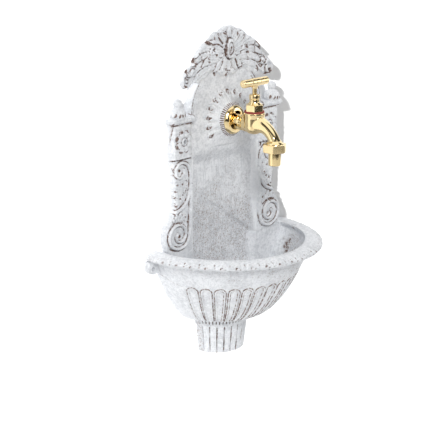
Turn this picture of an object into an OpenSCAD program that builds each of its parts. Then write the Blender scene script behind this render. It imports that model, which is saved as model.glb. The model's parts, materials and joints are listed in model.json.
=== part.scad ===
// Garden wall fountain: an ornate cast back plate, a half-oval basin and a brass garden tap.
// X runs to the viewer's right, the front faces -Y, the wall is the plane Y = 0 and Z is up.
// The origin lies on the wall, on the centre line, level with the lowest edge of the pendant.

/* [Back plate] */
// Height of the crest's tip above the pendant's lowest edge
plate_top = 400; // [392:1:420]
// Height of the plate's foot, which stands on the basin's back wall
plate_foot = 138; // [136:1:140]
// Front face of the pilasters and of the arched field, out from the wall
field_depth = 11; // [10:0.5:13]
// Front face of the rosette blocks, out from the wall
block_depth = 14; // [13:0.5:16]
// Thickness of the cast wall
skin = 3.5; // [3:0.1:4]
// Width of the rim that touches the wall all round the hollow back
edge_w = 6; // [5:0.5:7]
// Half the width of the plate at its foot
foot_half = 97; // [95:0.5:98]
// Half the width of the pilaster shafts
shaft_half = 82; // [81:0.5:84]
// Half the width of the rosette blocks
block_half = 86; // [85:0.5:88]
// Drop from the crest's tip to the top of the rosette blocks
block_drop = 108; // [106:0.5:110]
// Height of the rosette blocks
block_h = 41; // [39:0.5:43]
// Radius of the arched field
arch_r = 58; // [56:0.5:60]
// Drop from the crest's tip to the arch's centre
arch_drop = 100; // [98:0.5:102]
// Width of the rope border round the arch
rope_w = 5; // [4:0.5:6]

/* [Niche] */
// Half the width of the niche at the pilaster fronts
niche_half = 55.5; // [53:0.5:57]
// Thickness of the niche floor
niche_floor = 3; // [2.5:0.1:4]
// How far the niche's side walls lean inwards
niche_draft = 4; // [2:0.5:5]

/* [Ornament] */
// Height that relief stands above the face that carries it
relief = 2.6; // [2:0.1:3.5]
// Distance of the big volutes from the centre line
volute_x = 77.5; // [76:0.5:79]
// Height of the big volutes' eyes above the plate's foot
volute_rise = 19; // [18:0.5:21]
// Radius of the big volutes
volute_r = 18; // [16:0.5:19]
// Distance of the upper scrolls' eyes from the centre line
scroll_x = 75.5; // [74:0.5:77]
// Drop from the rosette blocks to the upper scrolls' eyes
scroll_drop = 15.5; // [14:0.5:17]
// Radius of the upper scrolls
scroll_r = 11.5; // [10:0.5:12.5]
// Width of a scroll's band
band_w = 3.6; // [3:0.1:4.5]
// Radius of a rosette
rosette_r = 13.5; // [12:0.5:14]
// Petals of a rosette
petals = 8; // [6:1:8]
// Radius of a finial's ball
ball_r = 6; // [5:0.5:7]
// Radius of a finial's bell
bell_r = 10; // [8:0.5:10.4]
// Height of a finial
finial_h = 25; // [22:1:28]
// Distance of the finials from the centre line
finial_x = 80; // [78:0.5:82]
// Depth of the crest's base slab
crest_depth = 12; // [11:0.5:14]
// Height of the crest from its curled ends to its tip
crest_rise = 64; // [60:1:68]
// Drop from the crest's tip to the middle of its medallion
medal_drop = 27; // [24:0.5:30]
// Half the height of the medallion
medal_r = 11; // [9:0.5:12]
// Radius of the fan of leaves round the tap
fan_r = 35; // [33:0.5:38]
// Leaves of the fan
fan_leaves = 13; // [9:2:15]
// Front of the raised boss that the tap is screwed to, out from the wall
boss_depth = 17; // [16:0.5:19]
// Radius of the flat seat on that boss
boss_r = 23; // [21:0.5:24]

/* [Basin] */
// Width of the rim
rim_w = 245; // [235:1:250]
// Depth of the rim, out from the wall
rim_d = 130; // [122:1:136]
// Height of the rim's inner edge
rim_top = 141; // [140.5:0.5:142]
// Flat width of the rim, from its outer edge to the water
rim_flat = 23; // [20:0.5:25]
// Drop from the rim's inner edge to its outer lower edge
rim_drop = 8; // [7:0.5:9]
// How far the rim stands out past the bowl at its sides
overhang_side = 12.5; // [11:0.5:15]
// How far the rim stands out past the bowl at its front
overhang_front = 18; // [15:0.5:20]
// Height of the top of the neck ring
neck_top = 46; // [44:0.5:48]
// Height of the bottom of the neck ring
neck_bottom = 37; // [35:0.5:39]
// Half the width of the neck ring
neck_half = 44; // [42:0.5:46]
// Reach of the neck ring
neck_reach = 42; // [40:0.5:44]
// Half the width of the pendant at its top
pendant_half = 37; // [35:0.5:39]
// Reach of the pendant at its top
pendant_reach = 35; // [33:0.5:37]
// How much narrower the pendant is at its bottom, on each side
pendant_taper = 3.5; // [2:0.5:5]
// Thickness of the bowl's wall
bowl_skin = 4.5; // [4:0.1:5.5]
// Height of the bowl's floor
bowl_floor = 53; // [51:0.5:56]
// Flutes round the bowl
flutes = 14; // [11:1:15]
// Depth of the groove round a bowl flute
flute_depth = 1.3; // [0.8:0.1:1.6]
// Flutes round the pendant
pendant_flutes = 12; // [9:1:15]
// Leaves round the rim
rim_leaves = 22; // [20:1:26]
// Radius of the drain hole
drain_r = 5.5; // [5:0.5:6.5]
// Radius of the holes for the wall screws
screw_hole_r = 2.75; // [2.2:0.05:3]
// Radius of a fixing ear under the rim
ear_r = 6.5; // [6:0.5:7]
// Thickness of a fixing ear
ear_t = 8; // [6:0.5:9]

/* [Joint of plate and basin] */
// Radius of the joint bolts
bolt_r = 2.5; // [2:0.1:3]
// Radius of a bolt head
bolt_head_r = 4.75; // [4.5:0.05:5.2]
// Height of a bolt head
bolt_head_t = 3; // [2.4:0.1:3.4]
// Thickness of a rubber sealing washer
washer_t = 1; // [0.8:0.1:1.5]
// Thickness of a thin joint nut
nut_t = 2.7; // [2.4:0.1:2.8]
// Width across flats of a joint nut
nut_af = 8; // [7.5:0.1:9]
// Thickness of the plate's tongues
tongue_t = 3.7; // [3.4:0.1:3.9]
// Height of the joint bolts
bolt_z = 88; // [86:0.5:92]
// Free space between a joint bolt's washer and the bowl's side
bolt_room = 7.3; // [6.5:0.1:7.8]

/* [Tap] */
// Drop from the crest's tip to the tap's inlet axis
tap_drop = 111; // [109:0.5:113]
// Distance of the valve's axis from the wall
valve_out = 57; // [55:0.5:60]
// Distance of the nozzle's axis from the wall
nozzle_out = 90.5; // [89:0.5:94]
// Radius of the wall flange
flange_r = 17.2; // [16:0.1:18]
// Thickness of the flange's straight edge
flange_edge = 7.5; // [6:0.5:9]
// Thickness of the flange's domed front
flange_dome = 4.5; // [3:0.5:6]
// Radius of the threaded inlet shank
shank_r = 10.4; // [10:0.05:10.6]
// Width across flats of the hexagonal inlet neck
neck_af = 18.5; // [17:0.5:20]
// Outer radius of the valve chamber
chamber_r = 12.3; // [12:0.1:13]
// Radius of the bore in the valve chamber
chamber_bore = 9.8; // [9.6:0.1:10.2]
// Top of the chamber above the inlet axis
chamber_up = 14; // [13:0.5:15]
// Bottom of the chamber below the inlet axis
chamber_down = 12; // [11:0.5:13]
// Outer radius of the spout
spout_r = 7.2; // [6.8:0.1:7.8]
// Bore radius of the spout
spout_bore = 4.8; // [4:0.1:5.2]
// Bend radius of the spout
bend_r = 20; // [18:0.5:21]
// Height of the union nut
union_h = 9.5; // [9:0.5:11]
// Width across flats of the union nut
union_af = 25.5; // [25:0.5:28]
// Outer radius of the hose tail
tail_r = 7.35; // [7:0.05:8]
// Bore radius of the hose tail
tail_bore = 5.2; // [4:0.1:5.5]
// Length of the hose tail below the union nut
tail_len = 16; // [14:0.5:20]
// Width across flats of the bonnet
bonnet_af = 19.5; // [19:0.5:21]
// Height of the bonnet's hexagon
bonnet_h = 8; // [7:0.5:9]
// Radius of the bonnet's round neck
bonnet_neck_r = 5.8; // [5.4:0.1:6.2]
// Length of the bonnet's round neck
bonnet_neck_h = 6; // [5:0.5:7]
// Radius of the gland nut
gland_r = 6.3; // [6:0.1:7]
// Height of the gland nut
gland_h = 5.8; // [5:0.1:7]
// Radius of the spindle
spindle_r = 2.6; // [2.4:0.1:2.9]
// Length of spindle in view between gland nut and handle
spindle_show = 7; // [6.5:0.5:10]
// Length of the T-handle's bar
bar_len = 48; // [42:1:54]
// Radius of the T-handle's bar
bar_r = 4.7; // [4.2:0.1:5.2]
// Radius of the pin through handle and spindle
pin_r = 1; // [0.8:0.1:1.2]

/* [Hidden] */
$fn = 48;

// Overrun of a cutting tool past the face that it cuts
over = 1;
// Free gap round a shaft that turns or slides in its hole
run_gap = 0.05;
// Free gap between curved faces that do not guide each other
free_gap = 0.3;
// Screw pitch of the valve spindle
spindle_pitch = 2.5;
// Angle that the half-oval basin sweeps
half_turn = 180;
// Rounding of the crest's edge and softening of a relief's outline
crest_round = 1.5;
soft = 0.2;
// Step in from one layer of relief to the next
layer_step = 1;

// Heights of the plate's parts, hung from the crest's tip or standing on the plate's foot
ledge_h = 3;
block_top = plate_top - block_drop;
block_bottom = block_top - block_h;
niche_top = block_bottom - ledge_h;
arch_z = plate_top - arch_drop;
medal_z = plate_top - medal_drop;
crest_foot = plate_top - crest_rise;
scroll_z = block_bottom - scroll_drop;
volute_z = plate_foot + volute_rise;
tap_z = plate_top - tap_drop;

// Half the width and the reach of the bowl just under the rim
bowl_half = rim_w / 2 - overhang_side;
bowl_reach = rim_d - overhang_front;

// Depth of the hollow behind the field
hollow_depth = field_depth - skin;
// Outer half width of the arch with its rope
arch_out = arch_r + rope_w / 2;

// Heights and places of the tap's pieces, from its inlet axis
chamber_top = tap_z + chamber_up;
gasket_t = 1.5;
gasket_r = chamber_r - 0.3 * gasket_t;
hex_bottom = chamber_top + gasket_t;
hex_top = hex_bottom + bonnet_h;
neck_end = hex_top + bonnet_neck_h;
gland_top = neck_end + gland_h;
gland_lip = 1.4;
packing_t = 2.2;
gland_thread_r = 4.9;
packing_bottom = gland_top - gland_lip - packing_t;
hub_bottom = gland_top + spindle_show;
bar_z = hub_bottom + 1.55 * bar_r;
seat_rise = 5.5;
seat_z = tap_z + seat_rise;
seat_r = 6.6;
seat_bore = 4.2;
seat_skin = 2.2;
jumper_t = 1.6;
jumper_r = 7;
jumper_stem_r = 2;
jumper_stem_l = 8;
rubber_t = 2.4;
rubber_r = 6.4;
rubber_bore = 1.8;
screw_head_r = 3;
screw_head_t = 1.2;
screw_stem = 2;
jumper_bottom = seat_z + rubber_t;
spindle_foot = jumper_bottom + jumper_t;
collar_r = 4;
spindle_tip = 1;
valve_lift = 2 * spindle_pitch;
collar_rise = 3;
collar_top = hex_bottom + collar_rise;
bonnet_thread = 6.5;
inlet_bore = 4.2;
chamber_floor_t = 4;
chamber_floor = tap_z - chamber_down + chamber_floor_t;

// Places along the inlet shank, as depths from the wall
shank_end = 0.6;
seal_t = 1;
back_nut_t = 4.5;
back_nut_af = 26;
boss_skin = 4;
boss_hollow_r = 19;
seal_r = 15;
boss_inside = boss_depth - boss_skin;
nut_front = boss_inside - seal_t;
neck_relief = 0.25;
free_shank_r = shank_r - neck_relief;
flange_front = boss_depth + flange_edge + flange_dome;

// Places down the nozzle
nut_lip = 1.8;
tail_lip_t = 1.8;
tail_lip_r = 10.1;
hose_gasket_t = 1.6;
nozzle_thread_r = 10.3;
nozzle_thread_h = 5.6;
nozzle_lip = 1;
spout_rise = 1;
bend_z = tap_z + spout_rise - bend_r;
nozzle_drop = 3.6;
thread_foot = bend_z - nozzle_drop;
tail_lip_top = thread_foot - hose_gasket_t;
union_foot = tail_lip_top - tail_lip_t - nut_lip;

// Places on the basin: fixing ears, drain and the hollow of the pendant
rim_lip = 2.5;
bowl_top = rim_top - rim_drop - rim_lip;
ear_x = rim_w / 2 - ear_r;
ear_drop = 8.5;
ear_z = rim_top - rim_drop - ear_drop;
drain_y = 0.53 * pendant_reach;
pendant_hollow_r = 0.22 * pendant_half;

// Tongues of the plate behind the basin's back wall
bolt_x = bowl_w(bolt_z - bowl_skin) - 1.6 * bowl_skin - bolt_head_r - washer_t - bolt_room;
tongue_x = bolt_x;
tongue_w = 2 * (bolt_x - niche_half - skin - free_gap);
tongue_reach = 24;

// Caps, ledges, rosettes and crest of the plate
cap_h = 8.5;
cap_half = 97;
cap_inner = 57;
cap_depth = 17;
ledge_out = 1;
rosette_x = (block_half + niche_half + skin) / 2;
rosette_z = (block_bottom + block_top) / 2;
crest_half = 79;

// Unit direction helpers
function polar(r, a) = [r * cos(a), r * sin(a)];
function mix(a, b, t) = a + (b - a) * t;

// Draws flat work, given as X and Z, from one depth to another in front of the wall
module relief_layer(from, to) {
    translate([0, -from, 0]) rotate([90, 0, 0]) linear_extrude(height = to - from) children();
}

// Draws its children on the right and mirrored on the left
module both_sides() {
    children();
    mirror([1, 0, 0]) children();
}

// A turned piece about an upright axis at a distance out from the wall
module upright(out) {
    translate([0, -out, 0]) children();
}

// A piece turned about the inlet axis, drawn with its length along +Z of the lathe
module along_inlet(from) {
    translate([0, -from, tap_z]) rotate([90, 0, 0]) children();
}

// A ring about the lathe's axis
module ring(r_out, r_in, h) {
    rotate_extrude() translate([r_in, 0]) square([r_out - r_in, h]);
}

// A band of changing width along a list of points
module ribbon(spine, width_a, width_b) {
    n = len(spine) - 1;
    side = [for (i = [0:n]) let (
        a = spine[max(i - 1, 0)], b = spine[min(i + 1, n)],
        d = (b - a) / norm(b - a), w = mix(width_a, width_b, i / n) / 2)
        [spine[i] + w * [-d[1], d[0]], spine[i] - w * [-d[1], d[0]]]];
    polygon(concat([for (s = side) s[0]], [for (i = [n:-1:0]) side[i][1]]));
}

// Points of a spiral that winds in from radius ra to rb between two angles
function spiral(c, ra, rb, aa, ab, steps) =
    [for (i = [0:steps]) let (t = i / steps) c + polar(mix(ra, rb, pow(t, 0.8)), mix(aa, ab, t))];

// A leaf that grows from the origin along +X: length and half width as shares, with a curled tip
leaf_shares = [[0, 0.16], [0.3, 0.42], [0.62, 0.56], [0.86, 0.42], [1, 0.08], [0.95, -0.14],
    [0.72, -0.42], [0.36, -0.4], [0, -0.16]];
module leaf(l, w) {
    polygon([for (s = leaf_shares) [l * s[0], w * s[1]]]);
}

// Basin: half widths and reaches of its skin at a height

function bowl_share(z) = (z - neck_top) / (bowl_top - neck_top);
function bowl_w(z) = mix(neck_half, bowl_half, pow(bowl_share(z), 0.52));
function bowl_d(z) = mix(neck_reach, bowl_reach, pow(bowl_share(z), 0.42));

// Rows of the outer skin from the pendant's foot to the rim's inner edge: height, half width, reach
bowl_shares = [0, 0.02, 0.06, 0.12, 0.2, 0.3, 0.4, 0.5, 0.58, 0.63, 0.67, 0.78, 0.9, 1];
skin_rows = concat(
    [[0, pendant_half - pendant_taper, pendant_reach - pendant_taper],
     [neck_bottom * 0.5, pendant_half - pendant_taper * 0.62, pendant_reach - pendant_taper * 0.62],
     [neck_bottom * 0.93, pendant_half, pendant_reach],
     [neck_bottom, mix(pendant_half, neck_half, 0.3), mix(pendant_reach, neck_reach, 0.3)],
     [mix(neck_bottom, neck_top, 0.5), mix(pendant_half, neck_half, 0.5),
      mix(pendant_reach, neck_reach, 0.5)],
     [mix(neck_bottom, neck_top, 0.75), mix(pendant_half, neck_half, 0.93),
      mix(pendant_reach, neck_reach, 0.93)]],
    [for (s = bowl_shares) let (z = mix(neck_top, bowl_top, s)) [z, bowl_w(z), bowl_d(z)]],
    [[rim_top - rim_drop - 0.04 * rim_flat, rim_w / 2 - 0.18 * rim_flat, rim_d - 0.2 * rim_flat],
     [rim_top - rim_drop + 0.05 * rim_flat, rim_w / 2, rim_d],
     [rim_top - 0.36 * rim_drop, rim_w / 2 - 0.07 * rim_flat, rim_d - 0.07 * rim_flat],
     [rim_top + 0.1 * rim_drop, rim_w / 2 - 0.28 * rim_flat, rim_d - 0.28 * rim_flat],
     [rim_top + 0.22 * rim_drop, rim_w / 2 - 0.5 * rim_flat, rim_d - 0.5 * rim_flat],
     [rim_top + 0.12 * rim_drop, rim_w / 2 - 0.8 * rim_flat, rim_d - 0.8 * rim_flat],
     [rim_top, rim_w / 2 - rim_flat, rim_d - rim_flat]]);
skin_steps = 5 * rim_leaves;

// How deep the groove of a flute is at an angle round the front and at a share of the bowl's height
flute_pitch = 6 * half_turn / skin_steps;
flute_span = flutes * flute_pitch;
function flute_place(a) = let (u = (a - (half_turn - flute_span) / 2) / flute_pitch) u - floor(u);
function flute_on(a) = abs(a - half_turn / 2) < flute_span / 2 + 0.1 ? 1 : 0;
function flute_cut(a, s) = let (
    u = abs(flute_place(a) - 0.5) * 2,
    crown = s > 0.5 ? sqrt(max(0, 1 - pow((s - 0.5) / 0.15, 2))) : 1)
    flute_on(a) * (s > 0.01 && s < 0.65 ? flute_depth * (u < 0.5 * crown ? 0.3 : u < 0.9 * crown ? 1 : 0) : 0);
function pendant_cut(a) = 1.4 * flute_depth * abs(sin(a * pendant_flutes));
function leaf_cut(a, z) = z < rim_top - 0.5 * rim_drop ? 0.8 * flute_depth * abs(sin(a * rim_leaves)) : 0;
function skin_cut(a, z) = z < neck_bottom * 0.95 ? pendant_cut(a)
    : z > bowl_top ? leaf_cut(a, z) : z > neck_top ? flute_cut(a, bowl_share(z)) : 0;

// A half-oval solid through rows of height, half width and reach, flat on its back
module half_oval(rows, steps, back, cut) {
    n = len(rows);
    m = steps + 1;
    pts = [for (r = rows) for (j = [0:steps]) let (
        a = half_turn * j / steps, c = cut ? skin_cut(a, r[0]) : 0)
        [(r[1] - c) * cos(a), -back - (r[2] - back - c) * sin(a), r[0]]];
    sides = [for (i = [0:n - 2]) for (j = [0:steps - 1]) each [
        [i * m + j, i * m + j + 1, (i + 1) * m + j + 1],
        [i * m + j, (i + 1) * m + j + 1, (i + 1) * m + j]]];
    backs = [for (i = [0:n - 2]) each [
        [i * m + steps, i * m, (i + 1) * m],
        [i * m + steps, (i + 1) * m, (i + 1) * m + steps]]];
    low = [[for (j = [0:steps]) steps - j]];
    high = [[for (j = [0:steps]) (n - 1) * m + j]];
    polyhedron(points = pts, faces = concat(sides, backs, low, high));
}

// The water space: the bowl's skin less its wall, with a flat back in front of the wall
water_shares = [0.09, 0.16, 0.26, 0.4, 0.56, 0.74, 0.9, 1];
water_rows = concat(
    [[bowl_floor, bowl_w(bowl_floor) - 3.2 * bowl_skin, bowl_d(bowl_floor) - 2.6 * bowl_skin]],
    [for (s = water_shares) let (z = mix(neck_top, bowl_top, s) + bowl_skin)
        [z, bowl_w(z - bowl_skin) - 1.6 * bowl_skin, bowl_d(z - bowl_skin) - 1.5 * bowl_skin]],
    [[rim_top, rim_w / 2 - rim_flat, rim_d - rim_flat],
     [rim_top + rim_drop, rim_w / 2 - rim_flat, rim_d - rim_flat]]);

// Flat outline of the basin's back, used for the pockets behind its back wall
module basin_back_outline() {
    rows = [for (r = skin_rows) if (r[0] <= bowl_top) r];
    n = len(rows) - 1;
    polygon(concat([for (r = rows) [r[1], r[0]]], [for (i = [n:-1:0]) [-rows[i][1], rows[i][0]]]));
}

module basin() {
    color("gainsboro") difference() {
        union() {
            half_oval(skin_rows, skin_steps, 0, true);
            both_sides() relief_layer(0, ear_t) basin_ear();
        }
        half_oval(water_rows, 48, field_depth, false);
        // room for the plate's foot, which stands on the back wall
        translate([-foot_half - free_gap, -field_depth, plate_foot])
            cube([2 * foot_half + 2 * free_gap, field_depth + over, 2 * rim_drop]);
        // the niche runs on down into the bowl and fades out
        intersection() {
            niche_cut(0, plate_foot + over);
            translate([-rim_w, 0, 0]) rotate([90, 0, 90]) linear_extrude(height = 2 * rim_w)
                polygon([[-niche_floor, plate_foot + over], [-niche_floor, plate_foot * 0.8],
                    [-field_depth - over, plate_foot * 0.62], [-field_depth - over, plate_foot + over]]);
        }
        relief_layer(-over, hollow_depth) basin_pockets();
        // pendant and drain
        translate([0, -drain_y, -over]) scale([2, 1, 1])
            cylinder(r = pendant_hollow_r, h = neck_bottom + over);
        translate([0, -drain_y, 0]) cylinder(r = drain_r, h = bowl_floor + over);
        both_sides() translate([bolt_x, over, bolt_z]) rotate([90, 0, 0])
            cylinder(r = bolt_r + free_gap, h = field_depth + 2 * over);
        both_sides() translate([ear_x, over, ear_z]) rotate([90, 0, 0])
            cylinder(r = screw_hole_r, h = ear_t + 2 * over);
    }
}

// A fixing ear: a round lug under the rim's end, joined to the bowl's side
module basin_ear() {
    translate([ear_x, ear_z]) circle(r = ear_r);
    translate([bowl_half - 2 * ear_r, ear_z - ear_r])
        square([ear_x - bowl_half + 2 * ear_r, 2 * ear_r]);
    translate([bowl_half - 2 * ear_r, ear_z]) square([rim_w / 2 - bowl_half + 2 * ear_r, 1.4 * ear_r]);
}

// Pockets behind the back wall: one each side of the niche and one below it
module basin_pockets() {
    difference() {
        offset(delta = -1.2 * edge_w) basin_back_outline();
        translate([-niche_half - skin, plate_foot * 0.52])
            square([2 * niche_half + 2 * skin, plate_foot]);
        translate([-2 * rim_w, 0]) square([4 * rim_w, bowl_floor - bowl_skin]);
    }
    both_sides() translate([niche_half + skin, bolt_z])
        square([tongue_x + tongue_w / 2 + free_gap - niche_half - skin, plate_foot]);
}

// Back plate outline: shafts, blocks, caps, arch and crest

// Lobes of the crest's edge on the right: X and height as shares of its half width and rise
crest_lobe_shares = [[0, 0.842, 0.128], [0.152, 0.812, 0.12], [0.285, 0.75, 0.114],
    [0.405, 0.664, 0.108], [0.532, 0.555, 0.108], [0.671, 0.43, 0.112], [0.76, 0.289, 0.09],
    [0.842, 0.156, 0.09], [0.937, 0.09, 0.095]];
function crest_at(s) = [crest_half * s[0], crest_foot + crest_rise * s[1]];

module crest_outline() {
    offset(r = -crest_round) offset(r = crest_round) {
        both_sides() {
            for (s = crest_lobe_shares) translate(crest_at(s)) circle(r = crest_half * s[2], $fn = 20);
            polygon(concat([[0, crest_foot + 0.1 * crest_rise]],
                [for (s = crest_lobe_shares) crest_at(s)], [[crest_half * 0.66, crest_foot]]));
        }
    }
}

module plate_outline() {
    intersection() {
        union() {
            both_sides() {
                translate([0, plate_foot]) square([foot_half, volute_z - plate_foot]);
                translate([volute_x, volute_z]) circle(r = foot_half - volute_x);
                translate([0, plate_foot]) square([shaft_half, block_bottom - plate_foot]);
                translate([0, block_bottom - ledge_h])
                    square([block_half, block_top + ledge_h - block_bottom]);
                translate([0, block_top]) square([cap_half, cap_h]);
            }
            translate([0, arch_z]) circle(r = arch_out, $fn = 72);
            crest_outline();
        }
        translate([-rim_w, plate_foot]) square([2 * rim_w, plate_top - plate_foot]);
    }
}

// The niche's space between two heights, narrower at its floor than at the pilaster fronts
module niche_cut(from, to) {
    lean = over * niche_draft / (field_depth - niche_floor);
    translate([0, 0, from]) linear_extrude(height = to - from) polygon([
        [-(niche_half - niche_draft), -niche_floor], [niche_half - niche_draft, -niche_floor],
        [niche_half + lean, -(field_depth + over)], [-(niche_half + lean), -(field_depth + over)]]);
}

// Hollow behind the field, the pilasters and the crest
module hollow_plan() {
    difference() {
        offset(r = -edge_w) plate_outline();
        translate([-niche_half - skin, plate_foot - over])
            square([2 * niche_half + 2 * skin, niche_top + skin - plate_foot + over]);
        // a web on the centre line ties the crest's rim to the boss
        translate([-skin / 2, tap_z]) square([skin, plate_top - tap_z]);
        both_sides() translate([rosette_x, rosette_z]) circle(r = 2 * screw_hole_r);
    }
}
// Run of the S-scroll beside the niche, from the upper scroll down to the volute
scroll_run = scroll_z - volute_z;

module side_scroll() {
    // upper scroll: eye, spiral and the band that sweeps down to the outer edge
    translate([scroll_x, scroll_z]) circle(r = 0.75 * band_w, $fn = 14);
    ribbon(spiral([scroll_x, scroll_z], 0.35 * scroll_r, scroll_r, -200, 180, 18), band_w * 0.5, band_w);
    ribbon([for (t = [0:0.2:1]) [scroll_x - scroll_r + (1 - cos(t * 90)) * 1.75 * scroll_r,
        scroll_z - scroll_run * 0.64 * sin(t * 90)]], band_w, band_w * 0.7);
}

module volute() {
    translate([volute_x, volute_z]) circle(r = band_w, $fn = 16);
    ribbon(spiral([volute_x, volute_z], volute_r - band_w / 2, 0.2 * volute_r, 180, 740, 28),
        band_w * 1.15, band_w * 0.7);
}

// Hanging cluster of berries inside the S-scroll, as shares of the scroll's run
berry_shares = [[0.15, 0.2], [-0.3, 0.2], [-0.72, 0.18], [0.3, 0.3], [-0.05, 0.31], [-0.42, 0.29],
    [0.35, 0.41], [0.02, 0.41], [0.2, 0.51]];
berry_r = 2.5;
module berries() {
    for (b = berry_shares)
        translate([scroll_x + 0.12 * scroll_r + b[0] * scroll_r, -field_depth,
            scroll_z - scroll_run * b[1]]) sphere(r = berry_r);
}

module leaf_tuft() {
    for (a = [20, 55, 90, 125, 160])
        translate([volute_x, volute_z + 0.9 * volute_r]) rotate(a) leaf(0.9 * scroll_r, 0.6 * scroll_r);
}

module rosette() {
    for (k = [0:petals - 1]) rotate(360 * (k + 0.5) / petals)
        translate([rosette_r * 0.66, 0]) scale([1.15, 0.85]) circle(r = rosette_r * 0.33, $fn = 12);
    circle(r = rosette_r * 0.6, $fn = 16);
}

module finial() {
    neck_z = finial_h - 1.9 * ball_r;
    translate([finial_x, -bell_r - free_gap, block_top + cap_h]) rotate_extrude($fn = 40) {
        polygon([[0, -over], [bell_r * 0.8, -over], [bell_r * 0.8, 0], [bell_r, 0.06 * finial_h],
            [bell_r * 0.96, 0.12 * finial_h], [bell_r * 0.7, 0.24 * finial_h],
            [bell_r * 0.52, 0.36 * finial_h], [bell_r * 0.4, neck_z], [0, neck_z]]);
        intersection() {
            translate([0, finial_h - ball_r]) circle(r = ball_r);
            translate([0, neck_z - over]) square([2 * ball_r, finial_h]);
        }
    }
}

// Cap of a pilaster: an ovolo moulding over a fillet
module cap() {
    translate([cap_inner, 0, block_top]) rotate([90, 0, 90]) linear_extrude(height = cap_half - cap_inner)
        polygon([[0, 0], [-block_depth, 0], [-block_depth, 0.22 * cap_h],
            [-mix(block_depth, cap_depth, 0.7), 0.34 * cap_h], [-cap_depth, 0.56 * cap_h],
            [-cap_depth, 0.8 * cap_h], [-mix(block_depth, cap_depth, 0.7), cap_h], [0, cap_h]]);
}

// Two ribs of rope that frame the arched field
module rope() {
    rib = rope_w * 0.36;
    for (r = [arch_r - rib, arch_out - rib]) {
        intersection() {
            translate([0, arch_z]) difference() {
                circle(r = r + rib / 2, $fn = 72);
                circle(r = r - rib / 2, $fn = 72);
            }
            translate([-rim_w, arch_z]) square(2 * rim_w);
        }
        both_sides() translate([r - rib / 2, block_top]) square([rib, arch_z - block_top]);
    }
}

// Leaves of the crest on the right: angle from straight up, length and width as shares of its rise
crest_leaf_shares = [[13, 0.38, 0.22], [42, 0.45, 0.24], [66, 0.55, 0.25], [88, 0.74, 0.26],
    [112, 0.84, 0.25], [142, 0.46, 0.2], [166, 0.43, 0.17]];
module crest_leaves() {
    both_sides() for (s = crest_leaf_shares)
        translate([0, medal_z]) rotate(90 - s[0]) translate([0.8 * medal_r, 0])
            leaf(crest_rise * s[1] - 0.8 * medal_r, crest_rise * s[2]);
}

module crest_scrolls() {
    both_sides() {
        ribbon(spiral([crest_half * 0.937, crest_foot + 0.09 * crest_rise],
            0.1 * crest_half, 0.03 * crest_half, 150, -300, 18), band_w, 0.6 * band_w);
        ribbon(spiral([crest_half * 0.42, crest_foot + 0.48 * crest_rise],
            0.09 * crest_half, 0.02 * crest_half, 30, 480, 18), 0.8 * band_w, 0.6 * band_w);
        ribbon([for (t = [0:0.2:1]) [crest_half * mix(0.3, 0.82, t),
            crest_foot + crest_rise * (0.66 - 0.42 * t * t)]], band_w, band_w);
    }
}

module medallion() {
    translate([0, medal_z]) scale([0.62, 1]) children();
}

// Domed boss behind the tap, as a lathe profile of radius and depth
dome_shares = [[1.12, 0], [1, 0.2], [0.85, 0.52], [0.72, 0.84]];
module dome(lift) {
    along_inlet(0) rotate_extrude($fn = 72)
        polygon(concat([[0, 0]], [for (s = dome_shares)
            [fan_r * s[0] + lift, mix(field_depth, boss_depth, s[1]) + lift - (s[1] == 0 ? lift : 0)]],
            [[boss_r, boss_depth + lift], [0, boss_depth + lift]]));
}

module fan_pattern() {
    translate([0, tap_z]) {
        for (k = [0:fan_leaves - 1])
            rotate(mix(-32, 212, k / (fan_leaves - 1))) translate([0.62 * fan_r, 0])
                leaf(0.4 * fan_r, 0.22 * fan_r);
    }
}

// Short ridges that ring the flange
ridges = 24;
ridge_w = 0.8;
ridge_share = 0.19;
module ridge_pattern() {
    translate([0, tap_z]) for (k = [0:ridges - 1])
        rotate(360 * k / ridges) translate([flange_r + free_gap, -ridge_w / 2])
            square([ridge_share * fan_r, ridge_w]);
}

module plate_body() {
    relief_layer(0, field_depth) plate_outline();
    relief_layer(field_depth, crest_depth) crest_outline();
    both_sides() {
        relief_layer(0, block_depth) translate([niche_half + skin, block_bottom])
            square([block_half - niche_half - skin, block_top - block_bottom]);
        relief_layer(0, block_depth + ledge_out) translate([niche_half, block_bottom - ledge_h])
            square([block_half - niche_half, ledge_h]);
        cap();
        finial();
    }
    dome(0);
}

module side_relief() {
    side_scroll();
    volute();
    leaf_tuft();
}

module plate_relief() {
    half_step = relief * 0.55;
    relief_layer(hollow_depth, field_depth + 0.6 * relief) rope();
    both_sides() {
        relief_layer(hollow_depth, field_depth + half_step) offset(delta = soft) side_relief();
        relief_layer(hollow_depth, field_depth + relief) offset(delta = -0.2 * band_w) side_relief();
        relief_layer(hollow_depth, block_depth + half_step)
            translate([rosette_x, rosette_z]) offset(delta = soft) rosette();
        relief_layer(hollow_depth, block_depth + relief)
            translate([rosette_x, rosette_z]) offset(delta = -layer_step) rosette();
        berries();
    }
    intersection() {
        relief_layer(field_depth - over, boss_depth + 2 * relief) offset(delta = soft) {
            fan_pattern();
            ridge_pattern();
        }
        dome(0.5 * relief);
    }
    // crest: leaves in two layers, scrolls and the oval medallion
    relief_layer(field_depth, crest_depth + relief) offset(delta = soft) crest_leaves();
    relief_layer(field_depth, crest_depth + 1.7 * relief) offset(delta = -layer_step) crest_leaves();
    relief_layer(field_depth, crest_depth + 1.4 * relief) offset(delta = soft) crest_scrolls();
    relief_layer(field_depth, crest_depth + 2.4 * relief) medallion() difference() {
        circle(r = medal_r);
        circle(r = 0.72 * medal_r);
    }
    translate([0, -crest_depth - 0.8 * relief, medal_z]) scale([0.62, 0.6, 1])
        sphere(r = 0.56 * medal_r, $fn = 24);
    relief_layer(field_depth, crest_depth + 0.8 * relief) medallion() circle(r = medal_r);
}

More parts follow.
